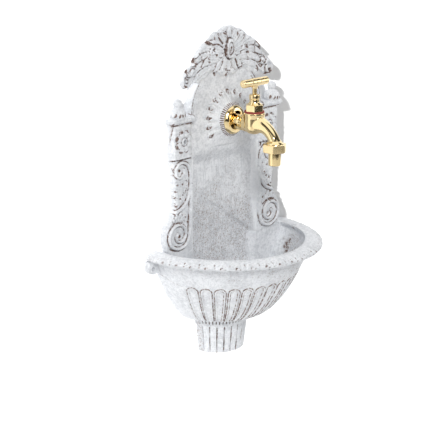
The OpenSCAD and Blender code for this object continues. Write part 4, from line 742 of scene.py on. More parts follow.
def loftSolid(name, grid):  # closed by a flat back and flat ends
    n, m = grid.shape[:2]
    deselectAll()
    bpy.ops.mesh.primitive_grid_add(x_subdivisions=m - 1, y_subdivisions=n - 1, size=1, location=(0, 0, 0))
    obj = named(name)
    moveTo(obj, grid.reshape(-1, 3) * mm)
    faces = [[i * m + m - 1, i * m, (i + 1) * m, (i + 1) * m + m - 1] for i in range(n - 1)]
    faces += [[j for j in range(m)], [(n - 1) * m + j for j in range(m)]]
    quads = [list(p.vertices) for p in obj.data.polygons]
    verts = coords(obj)
    obj.data.clear_geometry()
    obj.data.from_pydata(verts.tolist(), [], quads + faces)
    pick(obj)
    bpy.ops.object.mode_set(mode="EDIT")
    bpy.ops.mesh.select_all(action="SELECT")
    bpy.ops.mesh.normals_make_consistent(inside=False)
    bpy.ops.object.mode_set(mode="OBJECT")
    return obj


def carveBasin(rows, steps):
    s = basinSizes
    grid = halfOval(rows, steps, 0)
    z = np.repeat(rows[:, 0:1], steps + 1, 1)
    deg = np.repeat(np.linspace(-90, 90, steps + 1)[None, :], len(rows), 0)  # from the front
    run = np.concatenate([[0], np.cumsum(np.hypot(np.diff(rows[:, 2]), np.diff(rows[:, 0])))])
    rimStart = run[np.argmax(rows[:, 0] > 131.0)]
    v = np.repeat((run - rimStart)[:, None], steps + 1, 1)  # along the skin from under the rim
    wide = np.repeat(rows[:, 1:2], steps + 1, 1)
    onRim = v > 0
    rise = np.zeros_like(z)
    # flutes: a round-topped frame round a slightly sunk panel
    span = s["flutes"] * s["flutePitch"] / 2
    u = ((deg + span) / s["flutePitch"]) % 1.0 - 0.5
    pitch = np.radians(s["flutePitch"]) * (wide + 2)
    across = np.abs(u) * pitch                         # mm from the flute's middle
    halfWide = pitch * 0.42
    top = s["fluteTop"] - halfWide
    tall = np.where(z > top, np.hypot(across, (z - top) * 1.15), across)
    inside = halfWide - tall                           # mm inside the flute's outline
    frame = np.clip(halfWide * 0.36, 0.6, 2.1)
    fl = np.where(inside > 0, 0.75 * np.sqrt(np.clip(1 - ((inside - frame * 0.55) / (frame * 0.6)) ** 2, 0, 1)), 0)
    fl -= np.where(inside > frame * 1.1, 0.55 * smoothStep((inside - frame * 1.1) / 0.8), 0)
    fl -= 1.15 * np.exp(-((inside + 0.25) / 0.55) ** 2) + 0.5 * np.exp(-((inside - frame * 1.2) / 0.45) ** 2)
    fade = smoothStep((z - s["fluteLow"]) / 3) * smoothStep((s["fluteTop"] + 3 - z) / 2) * (np.abs(deg) < span + 0.15)
    rise += fl * fade * ~onRim
    # plain raised panel at each side, its top edge curving up to the wall
    bound = s["fluteTop"] - 1.5 + 15 * np.clip((np.abs(deg) - span) / (90 - span), 0, 1) ** 1.5
    side = np.minimum((np.abs(deg) - span - 0.6) * np.radians(1) * wide, bound - z)
    panel = 0.7 * smoothStep(side / 1.3 + 0.3) - 0.35 * np.exp(-((side + 0.6) / 0.6) ** 2)
    rise += panel * (np.abs(deg) > span - 1) * smoothStep((z - 46.5) / 2) * ~onRim
    # neck ring with dentils, pendant reeds
    dent = np.abs(((deg / (180 / s["dentils"])) % 1.0) - 0.5) * 2
    rise -= 1.5 * smoothStep((0.36 - dent) / 0.16) * smoothStep((z - 38.6) / 0.9) * smoothStep((45.0 - z) / 0.9)
    rise -= 0.8 * np.exp(-((z - 46.3) / 0.7) ** 2) + 0.9 * np.exp(-((z - 36.9) / 0.7) ** 2)
    reed = np.abs(((deg / (180 / s["pendantFlutes"])) % 1.0) - 0.5) * 2
    reedRise = -1.7 * np.exp(-((1 - reed) / 0.13) ** 2) + 0.5 * np.sqrt(np.clip(1 - reed ** 2, 0, 1)) - 0.5
    rise += reedRise * smoothStep((35.4 - z) / 2.4) * smoothStep((z - 1.2) / 2.5)
    # rim: rounded leaf tips that hang over the edge, veins running up over the top
    lu = ((deg / (180 / s["rimLeaves"])) % 1.0) - 0.5
    la = np.abs(lu) * 2
    tip = 10.6 + 2.4 * la ** 2.2                      # lower edge of the leaves, mm along the skin
    overTip = v - tip
    leaf = 0.9 * smoothStep(overTip / 0.9) * smoothStep((24 - v) / 9)
    leaf += 0.5 * np.exp(-((overTip - 1.6) / 1.3) ** 2)
    swirl = np.hypot(lu * 14.5, (v - 17.5) * 0.8)      # a curl in the middle of each leaf
    leaf += 0.45 * np.cos(2 * math.pi * (swirl / 3.1 + np.arctan2(v - 17.5, lu * 14.5) / (2 * math.pi))) * smoothStep((5.2 - swirl) / 2)
    leaf -= 1.0 * np.exp(-((1 - la) / 0.12) ** 2) * smoothStep((overTip + 2) / 2) * smoothStep((27 - v) / 8)
    leaf -= 0.55 * np.exp(-(la / 0.1) ** 2) * smoothStep((overTip - 2.5) / 2) * smoothStep((25 - v) / 8)
    leaf += 0.28 * np.cos(2 * math.pi * (la * 2.2 + overTip / 7.0)) * smoothStep((overTip - 2) / 2) * smoothStep((27 - v) / 7)
    leaf -= 0.8 * np.exp(-((overTip + 0.7) / 0.7) ** 2)
    leaf += 0.3 * np.cos(np.radians(deg + 6 * np.sin(v * 0.3)) * 92) * smoothStep((v - 13) / 4) * smoothStep((31 - v) / 6)
    rise += leaf * onRim
    rise += 0.1 * np.sin(deg * 0.9 + z * 0.31) * np.cos(z * 0.5 - deg * 0.37) + 0.07 * np.sin(deg * 2.3) * np.sin(z * 1.1)
    rise = 0.4 * rise + 0.6 * blurred(rise, 0.7)
    hollow = np.clip(0.75 * np.clip(blurred(rise, 2.0) - rise, -1, 2) + 0.25 * np.clip(blurred(rise, 5.0) - rise, -1, 2), -1, 1.5)
    # a slightly darker band just under the rim's bead
    under = np.exp(-((v - 1.5) / 2.5) ** 2) * 0.12
    hollow += under * onRim
    # brown lines round the flutes, in the reeds and dentils, and in dashes under the leaf tips
    hollow = np.maximum(hollow, 1.0 * np.exp(-((inside + 0.1) / 0.62) ** 2) * fade * ~onRim)
    hollow = np.maximum(hollow, 0.8 * np.exp(-((inside - frame * 1.25) / 0.5) ** 2) * fade * ~onRim * (np.abs(deg) < 45))
    hollow = np.maximum(hollow, 1.5 * smoothStep((0.34 - dent) / 0.2) * smoothStep((z - 38.4) / 0.8) * smoothStep((44.4 - z) / 0.8)
                        * smoothStep((deg + 12) / 20))
    hollow = np.maximum(hollow, 1.35 * np.exp(-((1 - reed) / 0.16) ** 2) * smoothStep((35.4 - z) / 2.4)
                        * (0.55 + 0.45 * np.sin(deg * 0.19 + z * 0.23)))
    tips = np.exp(-((overTip + 0.2) / 0.8) ** 2) * (0.75 + 0.6 * smoothStep((-deg - 30) / 30))
    hollow = np.maximum(hollow, 1.15 * tips * onRim * (0.6 + 0.4 * np.cos(np.radians(deg) * 110)))
    hollow += 0.3 * np.exp(-(la / 0.5) ** 2) * np.exp(-((v - 17) / 3.2) ** 2) * onRim
    ends = smoothStep((90 - np.abs(deg)) * np.radians(1) * 110 / 4)
    normal = gridNormals(halfOval(rows, steps, 0))
    grid = grid + normal * (rise * ends)[..., None]
    grid[..., 2] = np.maximum(grid[..., 2], 0)
    grid[:, 0, 1] = 0
    grid[:, -1, 1] = 0
    grid[..., 1] = np.minimum(grid[..., 1], 0)
    return grid, hollow


def nicheDepth(x, z):  # the same recess as in the plate, fading out down in the bowl
    side = 3 + 8 * np.clip((x - 51.3) / 3.9, 0, 1) + 1.3 * np.exp(-np.clip(51.3 - x, 0, 99) / 4.5)
    fadeOut = 3 + 8 * np.clip((110.4 - z) / 24.8, 0, 1) ** 1.3
    return np.maximum(side, fadeOut)


def buildBasin():
    s = basinSizes
    rows = skinProfile()
    grid, hollow = carveBasin(rows, s["steps"])
    basin = loftSolid("basinCasting", grid)
    for side in (-1, 1):
        ear = spun("ear", [(0, 0), (s["earR"], 0), (s["earR"], 7.2), (5.7, 8), (0, 8)], (side * s["earX"], 0, s["earZ"]), "Y", 48)
        cut(basin, ear, "UNION")
        low, high = sorted((side * 97.0, side * s["earX"]))
        cut(basin, block("earRoot", (low, 0, s["earZ"] - s["earR"]), (high, 8, s["earZ"] + 7)), "UNION")
        low, high = sorted((side * 97.0, side * 122.2))
        cut(basin, block("earTop", (low, 0, s["earZ"]), (high, 8, s["earZ"] + 9.1)), "UNION")
    # the water space, rounded at its floor
    shares = np.array([0.09, 0.16, 0.26, 0.4, 0.56, 0.74, 0.9, 1])
    wz = 46 + 84.5 * shares + 4.5
    w0, d0 = bowlWidth(53) - 14.4, bowlReach(53) - 11.7
    water = [(53.0, w0 * 0.72, 11 + (d0 - 11) * 0.72), (53.3, w0 * 0.9, 11 + (d0 - 11) * 0.9), (54.6, w0 + 1, d0 + 1)]
    water += [(z, bowlWidth(z - 4.5) - 7.2, bowlReach(z - 4.5) - 6.75) for z in wz]
    water += [(138.2, 100.2, 107.0), (141, 99.5, 107)]
    path = smoothPath3(water, 7)
    path = np.vstack([path, [(152, 99.5, 107)]])
    cut(basin, loftSolid("water", halfOval(path, 160, s["backWall"])))
    cut(basin, block("footRoom", (-s["footHalf"], -2, s["footZ"]), (s["footHalf"], 11, 155)))
    xs, zs = np.meshgrid(np.linspace(-56.2, 56.2, 150), np.linspace(84, 139.5, 76))
    cut(basin, sheetSolid("nicheTool", xs, zs, nicheDepth(np.abs(xs), zs), 12.5))
    # pockets behind the back wall
    xs, zs = np.meshgrid(np.linspace(-118, 118, 190), np.linspace(40, 142, 90))
    ax = np.abs(xs)
    pocket = np.maximum.reduce([ax - bowlWidth(zs) + 7.6, zs - 123, 48.5 - zs, -np.maximum(ax - 59, 71.8 - zs)])
    slot = np.maximum.reduce([59 - ax, ax - 75.1, 88 - zs, zs - 200])
    deep = 7.5 * smoothStep(-np.minimum(pocket, slot) / 1.3 + 0.5)
    cut(basin, sheetSolid("pocketTool", xs, zs, np.where(deep < 0.05, -0.6, deep), -3))
    # holes
    hollowFoot = spun("pendantHollow", [(0, -2), (8.14, -2), (8.14, 37), (0, 37)], (0, 0, 0), "Z", 64)
    co = coords(hollowFoot)
    moveTo(hollowFoot, co * [2, 1, 1] + [0, -s["drainY"] * mm, 0])
    cut(basin, hollowFoot)
    cut(basin, spun("drain", [(0, -2), (s["drainR"], -2), (s["drainR"], 60), (0, 60)], (0, s["drainY"], 0), "Z", 56))
    for side in (-1, 1):
        cut(basin, spun("boltHole", [(0, -2), (2.8, -2), (2.8, 14), (0, 14)], (side * s["boltX"], 0, s["boltZ"]), "Y", 40))
        cut(basin, spun("earHole", [(0, -2), (2.75, -2), (2.75, 12), (0, 12)], (side * s["earX"], 0, s["earZ"]), "Y", 40))
    tris = sum(len(p.vertices) - 2 for p in basin.data.polygons)
    applied(basin, "DECIMATE", decimate_type="COLLAPSE", ratio=min(1.0, 190000 / tris))
    print("basin triangles", tris, "to", sum(len(p.vertices) - 2 for p in basin.data.polygons))
    smoothed(basin, 50)
    from mathutils.kdtree import KDTree
    flat, values = grid.reshape(-1, 3) * mm, hollow.reshape(-1)
    tree = KDTree(len(flat))
    for i, p in enumerate(flat):
        tree.insert(p, i)
    tree.balance()

    # brown strokes at the foot of the niche and inside the bowl: place, reach in mm and strength
    blots = [((-25.9, 4, 124.7), 1.6, 1.5), ((-22, 4, 123.2), 1.5, 1.5), ((-18, 4, 121), 1.4, 1.5), ((-13, 4, 118.4), 1.5, 1.7),
             ((-9, 4, 115), 1.6, 1.7), ((-6, 4, 112), 1.6, 1.6), ((-31.4, 4, 133.4), 1.2, 1.3), ((-28, 4, 131.6), 1.2, 1.3),
             ((-21.5, 4, 128.6), 1.2, 1.1), ((7.2, 4, 122.6), 1.3, 1.2), ((10, 4, 119), 1.2, 1.2), ((16.3, 4, 114.2), 1.5, 1.3),
             ((93.6, 28, 118.4), 3.0, 0.95), ((95.1, 20, 123.5), 2.2, 1.0), ((89.4, 32, 111.8), 3.0, 0.9), ((91.5, 26, 115), 2.4, 0.95),
             ((94, 32, 121), 2.0, 1.1), ((99.5, 36, 139), 2.2, 1.2), ((96, 48, 138.8), 2.2, 1.2), ((91.5, 56, 138.4), 2.2, 1.2)]

    def look(co, normal):
        out = np.zeros(len(co))
        for spot, reach, strength in blots:
            far = np.linalg.norm(co / mm - [spot[0], -spot[1], spot[2]], axis=1)
            out = np.maximum(out, strength * np.exp(-(far / reach / 1.4) ** 2))
        for i, p in enumerate(co):
            hit, index, far = tree.find(p)
            if far < 0.0013:
                out[i] = max(out[i], values[index])
        return np.where(normal[:, 1] > 0.35, 0, out)
    markWearAndHighlight(basin, look)
    return basin


# Tap

tapSizes = {
    "axisZ": 289.0, "valveOut": 57.0, "nozzleOut": 90.5, "chamberR": 12.3, "chamberLow": 277.0, "chamberHigh": 303.0,
    "flangeR": 17.2, "flangeFrom": 17.0, "hexAcross": 18.5, "hexLow": 304.5, "hexHigh": 312.5, "bonnetAcross": 19.5,
    "neckR": 5.8, "neckHigh": 318.5, "glandR": 6.3, "glandHigh": 324.3, "barZ": 338.585, "barLength": 41.0, "barR": 4.7,
    "unionLow": 261.2, "unionHeight": 9.5, "unionAcross": 25.5, "tailR": 7.35, "tailLow": 245.2,
}


def hexPrism(name, across, low, high, place, axis="Z", turn=0, chamfer=0.0, crown=0.62):
    deselectAll()
    bpy.ops.mesh.primitive_cylinder_add(vertices=6, radius=across / math.sqrt(3) * mm, depth=(high - low) * mm,
                                        location=(0, 0, (high + low) / 2 * mm), rotation=(0, 0, math.radians(turn)))
    obj = bakePlace(named(name))
    applied(obj, "BEVEL", width=0.35 * mm, segments=3, limit_method="ANGLE", angle_limit=math.radians(40))
    if chamfer:
        r = across / math.sqrt(3)
        keepShape = spun("chamfer", [(0, low), (r - chamfer, low), (r + 0.1, low + chamfer * crown), (r + 0.1, high - chamfer * crown),
                                     (r - chamfer, high), (0, high)], (0, 0, 0), "Z", 96)
        cut(obj, keepShape, "INTERSECT")
    turnBy = Matrix.Rotation(math.radians(90), 4, "X") if axis == "Y" else Matrix()
    obj.data.transform(Matrix.Translation([place[0] * mm, -place[1] * mm, place[2] * mm]) @ turnBy)
    return obj


def spoutPath():  # the spout's centre line: out from the chamber, over and down to the nozzle
    pts = [(57, 289.6, 11.0), (62, 289.6, 10.5), (66.5, 289.4, 9.8), (71.2, 288.5, 8.7), (75.8, 286.8, 7.7), (80.2, 284.2, 7.1),
           (84.2, 280.8, 6.9), (87.4, 277.0, 6.9), (89.6, 273.2, 7.3), (90.5, 270.8, 8.4), (90.5, 269.2, 9.6)]
    return smoothPath3(pts, 6)


def sweep(name, path, steps=64):  # a round bar of changing radius along a line in the plane x = 0
    rings = []
    for i, (out, z, r) in enumerate(path):
        a, b = path[max(i - 1, 0)], path[min(i + 1, len(path) - 1)]
        d = np.array([b[0] - a[0], b[1] - a[1]])
        d /= np.linalg.norm(d)
        t = np.linspace(0, 2 * math.pi, steps, endpoint=False)
        rings.append(np.stack([r * np.cos(t), -(out - d[1] * r * np.sin(t)), z + d[0] * r * np.sin(t)], -1))
    pts = np.array(rings)
    n, m = pts.shape[:2]
    deselectAll()
    bpy.ops.mesh.primitive_plane_add(size=0.001, location=(0, 0, 0))
    obj = named(name)
    obj.data.clear_geometry()
    faces = [[i * m + j, i * m + (j + 1) % m, (i + 1) * m + (j + 1) % m, (i + 1) * m + j] for i in range(n - 1) for j in range(m)]
    faces += [list(range(m)), [(n - 1) * m + j for j in range(m)]]
    obj.data.from_pydata((pts.reshape(-1, 3) * mm).tolist(), [], faces)
    return outwards(obj)


def buildTapBody():
    s = tapSizes
    low, r = s["chamberLow"], s["chamberR"]
    profile = [(0, low)] + [(r * math.sin(a) ** 0.9, low + 10.5 * (1 - math.cos(a))) for a in np.linspace(0.1, math.pi / 2, 18)]
    profile += [(r, 291), (r * 0.985, 297), (r * 1.03, 300.4), (r * 1.03, 303), (0, 303)]
    body = spun("tapCasting", profile, (0, s["valveOut"], 0), "Z", 96)
    cut(body, sweep("spout", spoutPath()), "UNION")
    cut(body, spun("inletCone", [(0, 36), (7.8, 36), (8.4, 39), (10.8, 45.5), (11.2, 54), (0, 54)], (0, 0, s["axisZ"]), "Y", 72), "UNION")
    applied(body, "REMESH", mode="VOXEL", voxel_size=0.42 * mm)
    applied(body, "SMOOTH", factor=0.5, iterations=14)
    # the machined parts keep their edges
    for tool, how in (
            (hexPrism("inletHex", s["hexAcross"], 24.5, 43.5, (0, 0, s["axisZ"]), "Y", 30, 1.0), "UNION"),
            (spun("shank", rounded([(0, 0.6), (9.6, 0.6), (10.15, 1.3), (10.15, 7.5), (10.4, 7.6), (10.4, 24.6), (0, 24.6)], 0.3, 2),
                  (0, 0, s["axisZ"]), "Y", 72), "UNION"),
            (spun("nozzle", [(0, 266.4), (9.9, 266.4), (10.3, 266.8), (10.3, 270.9), (9.4, 271.6), (7.2, 274.5), (0, 274.5)],
                  (0, s["nozzleOut"], 0), "Z", 72), "UNION"),
            (spun("chamberBore", [(0, 281), (9.8, 281), (9.8, 310), (0, 310)], (0, s["valveOut"], 0), "Z", 72), "DIFFERENCE"),
            (spun("seat", [(0, 280), (6.6, 280), (6.6, 294), (6.2, 294.5), (0, 294.5)], (0, s["valveOut"], 0), "Z", 64), "UNION"),
            (spun("seatBore", [(0, 282), (4.2, 282), (4.2, 300), (0, 300)], (0, s["valveOut"], 0), "Z", 64), "DIFFERENCE"),
            (spun("inletBore", [(0, -2), (4.2, -2), (4.2, 57), (0, 57)], (0, 0, s["axisZ"] - 1.05), "Y", 64), "DIFFERENCE"),
            (sweep("spoutBore", smoothPath3([(64, 289.6, 4.6), (69, 289.0, 4.7), (74, 286.4, 4.8), (80, 282.2, 4.8), (85.6, 276.4, 4.8),
                                             (89.4, 270, 4.8), (90.5, 264, 4.8), (90.5, 260, 4.8)], 6), 48), "DIFFERENCE")):
        cut(body, tool, how)
    applied(body, "WEIGHTED_NORMAL", keep_sharp=True)
    return smoothed(body, 34)


def buildTap():
    s = tapSizes
    out, z = s["valveOut"], s["axisZ"]
    made = {"tapCasting": (buildTapBody(), "tap_body", "fountain", "polished_brass")}
    flange = spun("flangeRose", rounded([(10.45, 24), (16.9, 24), (17.2, 24.3), (17.2, 25.0), (16.6, 26.1), (15.0, 27.6), (12.9, 28.6),
                                         (11.6, 28.9), (11.1, 28.6), (10.45, 27.6), (10.45, 24)], 0.4, 3)[:-1] + [(10.45, 24)],
                  (0, 0, z), "Y", 120)
    made["flangeRose"] = (flange, "wall_flange", "fountain", "polished_brass")
    bonnet = hexPrism("bonnetCasting", s["bonnetAcross"], s["hexLow"], s["hexHigh"], (0, out, 0), "Z", 15, 1.1, 0.6)
    cut(bonnet, spun("bonnetNeck", rounded([(0, 312), (8.9, 312), (7.4, 313.6), (6.1, 315.0), (5.8, 316), (5.8, 318.5), (4.9, 318.5),
                                            (4.9, 320.7), (0, 320.7)], 0.5, 3), (0, out, 0), "Z", 72), "UNION")
    cut(bonnet, spun("bonnetThread", [(0, 296.5), (9.4, 296.5), (9.75, 297), (9.75, 304.8), (0, 304.8)], (0, out, 0), "Z", 72), "UNION")
    cut(bonnet, spun("bonnetBore", [(0, 294), (7.3, 294), (7.3, 304.2), (4.05, 304.2), (4.05, 313.5), (2.65, 313.5), (2.65, 330), (0, 330)],
                     (0, out, 0), "Z", 64))
    made["bonnetCasting"] = (smoothed(bonnet, 34), "bonnet", "fountain", "polished_brass")
    gland = spun("glandCollar", rounded([(4.95, 318.5), (5.7, 318.5), (6.2, 319.1), (6.3, 319.6), (6.3, 323.2), (6.1, 323.8), (5.5, 324.3),
                                         (2.65, 324.3), (2.65, 322.9), (4.95, 322.9), (4.95, 318.5)], 0.25, 3)[:-1] + [(4.95, 318.5)],
                 (0, out, 0), "Z", 96)
    made["glandCollar"] = (smoothed(gland, 34), "gland_nut", "fountain", "polished_brass")
    half, r = s["barLength"] / 2, s["barR"]
    barProfile = rounded([(0, -half), (4.0, -half), (r, -half + 0.9), (r, -7.2), (r + 0.24, -6.4), (r + 0.24, 6.4), (r, 7.2),
                          (r, half - 0.9), (4.0, half), (0, half)], 0.6, 4)
    bar = spun("handleBar", barProfile, (0, out, s["barZ"]), "X", 96)
    cut(bar, spun("hub", rounded([(0, 331.3), (3.5, 331.3), (3.75, 331.8), (4.3, 336.4), (4.3, 338), (0, 338)], 0.4, 3), (0, out, 0), "Z", 72), "UNION")
    cut(bar, spun("hubBore", [(0, 330), (2.65, 330), (2.65, 341), (0, 341)], (0, out, 0), "Z", 48))
    cut(bar, spun("pinHole", [(0, 44), (1.0, 44), (1.0, 70), (0, 70)], (0, 0, s["barZ"]), "Y", 32))
    made["handleBar"] = (smoothed(bar, 34), "t_handle", "handle", "polished_brass")
    low, high = s["unionLow"], s["unionLow"] + s["unionHeight"]
    nut = hexPrism("unionHex", s["unionAcross"], low, high, (0, s["nozzleOut"], 0), "Z", 5, 1.3, 0.7)
    cut(nut, spun("nutBore", [(0, low - 2), (7.65, low - 2), (7.65, low + 1.8), (10.6, low + 1.8), (10.6, high + 2), (0, high + 2)],
                  (0, s["nozzleOut"], 0), "Z", 72))
    made["unionHex"] = (smoothed(nut, 34), "union_nut", "union", "polished_brass")
    tail = spun("tailTube", rounded([(5.2, 245.2), (6.9, 245.2), (7.35, 245.8), (7.35, 260.7), (7.1, 261), (7.1, 263), (10.1, 263),
                                     (10.1, 264.8), (5.2, 264.8), (5.2, 245.2)], 0.2, 3)[:-1] + [(5.2, 245.2)], (0, s["nozzleOut"], 0), "Z", 96)
    made["tailTube"] = (smoothed(tail, 34), "hose_tail", "tail", "polished_brass")
    smoothed(flange, 34)
    return made


# Materials

def newGroup(name, inputs, outputs):
    group = bpy.data.node_groups.new(name, "ShaderNodeTree")
    for label, kind, value in inputs:
        sock = group.interface.new_socket(name=label, in_out="INPUT", socket_type=kind)
        sock.default_value = value
    for label, kind in outputs:
        group.interface.new_socket(name=label, in_out="OUTPUT", socket_type=kind)
    return group, group.nodes.new("NodeGroupInput"), group.nodes.new("NodeGroupOutput")


class Wires:  # short names for nodes that are used again and again
    def __init__(self, tree):
        self.tree = tree

    def node(self, kind, **settings):
        n = self.tree.nodes.new(kind)
        for key, value in settings.items():
            setattr(n, key, value)
        return n

    def join(self, a, b):
        self.tree.links.new(a, b)

    def put(self, sock, value):
        if hasattr(value, "is_output"):
            self.join(value, sock)
        else:
            sock.default_value = value

    def math(self, op, a, b=0.0, c=0.0, clamp=False):
        n = self.node("ShaderNodeMath", operation=op, use_clamp=clamp)
        for sock, value in zip(n.inputs, (a, b, c)):
            self.put(sock, value)
        return n.outputs[0]

    def ramp(self, value, low, high, outLow=0.0, outHigh=1.0):
        n = self.node("ShaderNodeMapRange", interpolation_type="SMOOTHSTEP")
        for sock, v in zip(n.inputs, (value, low, high, outLow, outHigh)):
            self.put(sock, v)
        return n.outputs[0]

    def noise(self, vector, scale, detail=3.0, rough=0.55, distortion=0.0):
        n = self.node("ShaderNodeTexNoise")
        self.put(n.inputs["Vector"], vector)
        for key, v in (("Scale", scale), ("Detail", detail), ("Roughness", rough), ("Distortion", distortion)):
            self.put(n.inputs[key], v)
        return n.outputs["Fac"]

    def mapped(self, vector, scale, turn=(0, 0, 0), move=(0, 0, 0)):
        n = self.node("ShaderNodeMapping")
        self.put(n.inputs["Vector"], vector)
        n.inputs["Scale"].default_value = scale
        n.inputs["Rotation"].default_value = turn
        n.inputs["Location"].default_value = move
        return n.outputs[0]

    def mix(self, fac, a, b, how="MIX"):
        n = self.node("ShaderNodeMix", data_type="RGBA", blend_type=how)
        self.put(n.inputs[0], fac)
        self.put(n.inputs[6], a)
        self.put(n.inputs[7], b)
        return n.outputs[2]


paintLook = {
    "paint": (0.815, 0.83, 0.855, 1), "shade": (0.53, 0.55, 0.58, 1), "under": (0.075, 0.043, 0.036, 1),
    "rubbed": (0.30, 0.22, 0.19, 1), "ridgeWhiteAndHighlight": (0.85, 0.865, 0.89, 1),
}


def wornPaintAndHighlightGroup():  # brushed paint over a dark casting: rubbed through in hollows, specks and dry strokes, with raised parts lightened as painted highlight
    c = paintLook
    group, gin, gout = newGroup("wornPaintAndHighlight", [
        ("Place", "NodeSocketVector", (0, 0, 0)), ("Hollowness", "NodeSocketFloat", 0.0), ("Paint", "NodeSocketColor", c["paint"]),
        ("Shade", "NodeSocketColor", c["shade"]), ("Underpaint", "NodeSocketColor", c["under"]),
        ("Rubbed", "NodeSocketColor", c["rubbed"]), ("Wear", "NodeSocketFloat", 1.0),
        ("Specks", "NodeSocketFloat", 0.0), ("Streaks", "NodeSocketFloat", 0.0)],
        [("Color", "NodeSocketColor"), ("Roughness", "NodeSocketFloat"), ("Height", "NodeSocketFloat")])
    w = Wires(group)
    place, hollow = gin.outputs["Place"], gin.outputs["Hollowness"]
    cloud = w.noise(place, 38, 4, 0.6)
    mottle = w.noise(place, 210, 5, 0.65)
    grain = w.noise(place, 900, 4, 0.65)
    # paint thick and thin
    tone = w.math("ADD", w.math("MULTIPLY", cloud, 0.4), w.math("MULTIPLY", mottle, 0.6))
    thin = w.ramp(tone, 0.38, 0.64)
    paint = w.mix(w.math("MULTIPLY", thin, 0.66), gin.outputs["Paint"], gin.outputs["Shade"])
    dusty = w.noise(place, 420, 3, 0.7)
    paint = w.mix(w.math("MULTIPLY", w.ramp(dusty, 0.50, 0.66), 0.45), paint, gin.outputs["Shade"])
    # dry brush strokes along the piece
    stroke = w.noise(w.mapped(place, (760, 760, 46)), 1.0, 3, 0.6, 0.4)
    slanted = w.noise(w.mapped(place, (110, 110, 640), (0.5, 0.25, 0.0)), 1.0, 3, 0.6, 0.6)
    strokes = w.mix(w.ramp(cloud, 0.42, 0.58), stroke, slanted)
    strokes = w.mix(gin.outputs["Streaks"], strokes, stroke)
    streak = w.ramp(strokes, 0.50, 0.68)
    paint = w.mix(w.math("MULTIPLY", streak, w.math("MULTIPLY_ADD", gin.outputs["Streaks"], 0.25, 0.5)), paint, gin.outputs["Shade"])
    # hollows keep the dark casting in broken dashes; raised parts go lighter, partly the dry-brushed white and partly
    # painted highlight
    broken = w.ramp(w.noise(place, 300, 3, 0.55), 0.38, 0.60, 0.35, 1.2)
    deep = w.math("MULTIPLY", hollow, broken)
    deep = w.math("ADD", deep, w.math("MULTIPLY", w.math("SUBTRACT", grain, 0.5), 0.5))
    dirt = w.math("MULTIPLY", w.ramp(deep, 0.26, 0.64), gin.outputs["Wear"], clamp=True)
    # the paint goes greyer and browner the deeper a point lies below its surroundings
    darkerInHollows = w.math("MULTIPLY", w.ramp(hollow, 0.02, 0.60), 0.42)
    # specks where the paint didn't take
    patch = w.ramp(w.math("ADD", w.math("ADD", w.math("MULTIPLY", cloud, 0.6), w.math("MULTIPLY", mottle, 0.4)),
                          w.math("MULTIPLY", w.math("SUBTRACT", gin.outputs["Specks"], 0.5), 0.42)), 0.42, 0.66)
    fleck = w.math("MULTIPLY_ADD", gin.outputs["Specks"], 0.09, w.noise(place, 600, 3, 0.6))
    fleck = w.ramp(fleck, 0.60, 0.70)
    speck = w.math("MULTIPLY", fleck, patch, clamp=True)
    scratch = w.math("MULTIPLY", w.ramp(stroke, 0.63, 0.72), w.math("MULTIPLY", w.ramp(mottle, 0.46, 0.62), patch), clamp=True)
    speck = w.math("MAXIMUM", speck, w.math("MULTIPLY", scratch, 0.8))
    color = w.mix(darkerInHollows, paint, w.mix(0.45, gin.outputs["Shade"], gin.outputs["Rubbed"]))
    color = w.mix(w.math("MULTIPLY", speck, 0.72), color, gin.outputs["Rubbed"])
    brown = w.mix(w.ramp(grain, 0.40, 0.62), gin.outputs["Underpaint"], gin.outputs["Rubbed"])
    color = w.mix(dirt, color, brown)
    # painted highlight: raised parts, and points whose hollowness is below zero, are lightened towards the ridge colour
    bright = w.math("MULTIPLY", w.ramp(w.math("MULTIPLY", hollow, -1.0), 0.04, 0.45), 0.75)
    color = w.mix(bright, color, paintLook["ridgeWhiteAndHighlight"])
    w.join(color, gout.inputs["Color"])
    w.join(w.ramp(w.math("ADD", dirt, speck), 0, 1, 0.60, 0.78), gout.inputs["Roughness"])
    height = w.math("ADD", w.math("MULTIPLY", mottle, 0.5), w.math("MULTIPLY", grain, 0.35))
    height = w.math("ADD", height, w.math("MULTIPLY", strokes, 0.35))
    height = w.math("SUBTRACT", height, w.math("MULTIPLY", speck, 0.6))
    w.join(height, gout.inputs["Height"])
    return group


def newMaterial(name, **settings):
    mat = bpy.data.materials.new(name)
    mat.use_nodes = True
    shader = mat.node_tree.nodes["Principled BSDF"]
    for key, value in settings.items():
        shader.inputs[key.replace("_", " ")].default_value = value
    return mat, Wires(mat.node_tree), shader


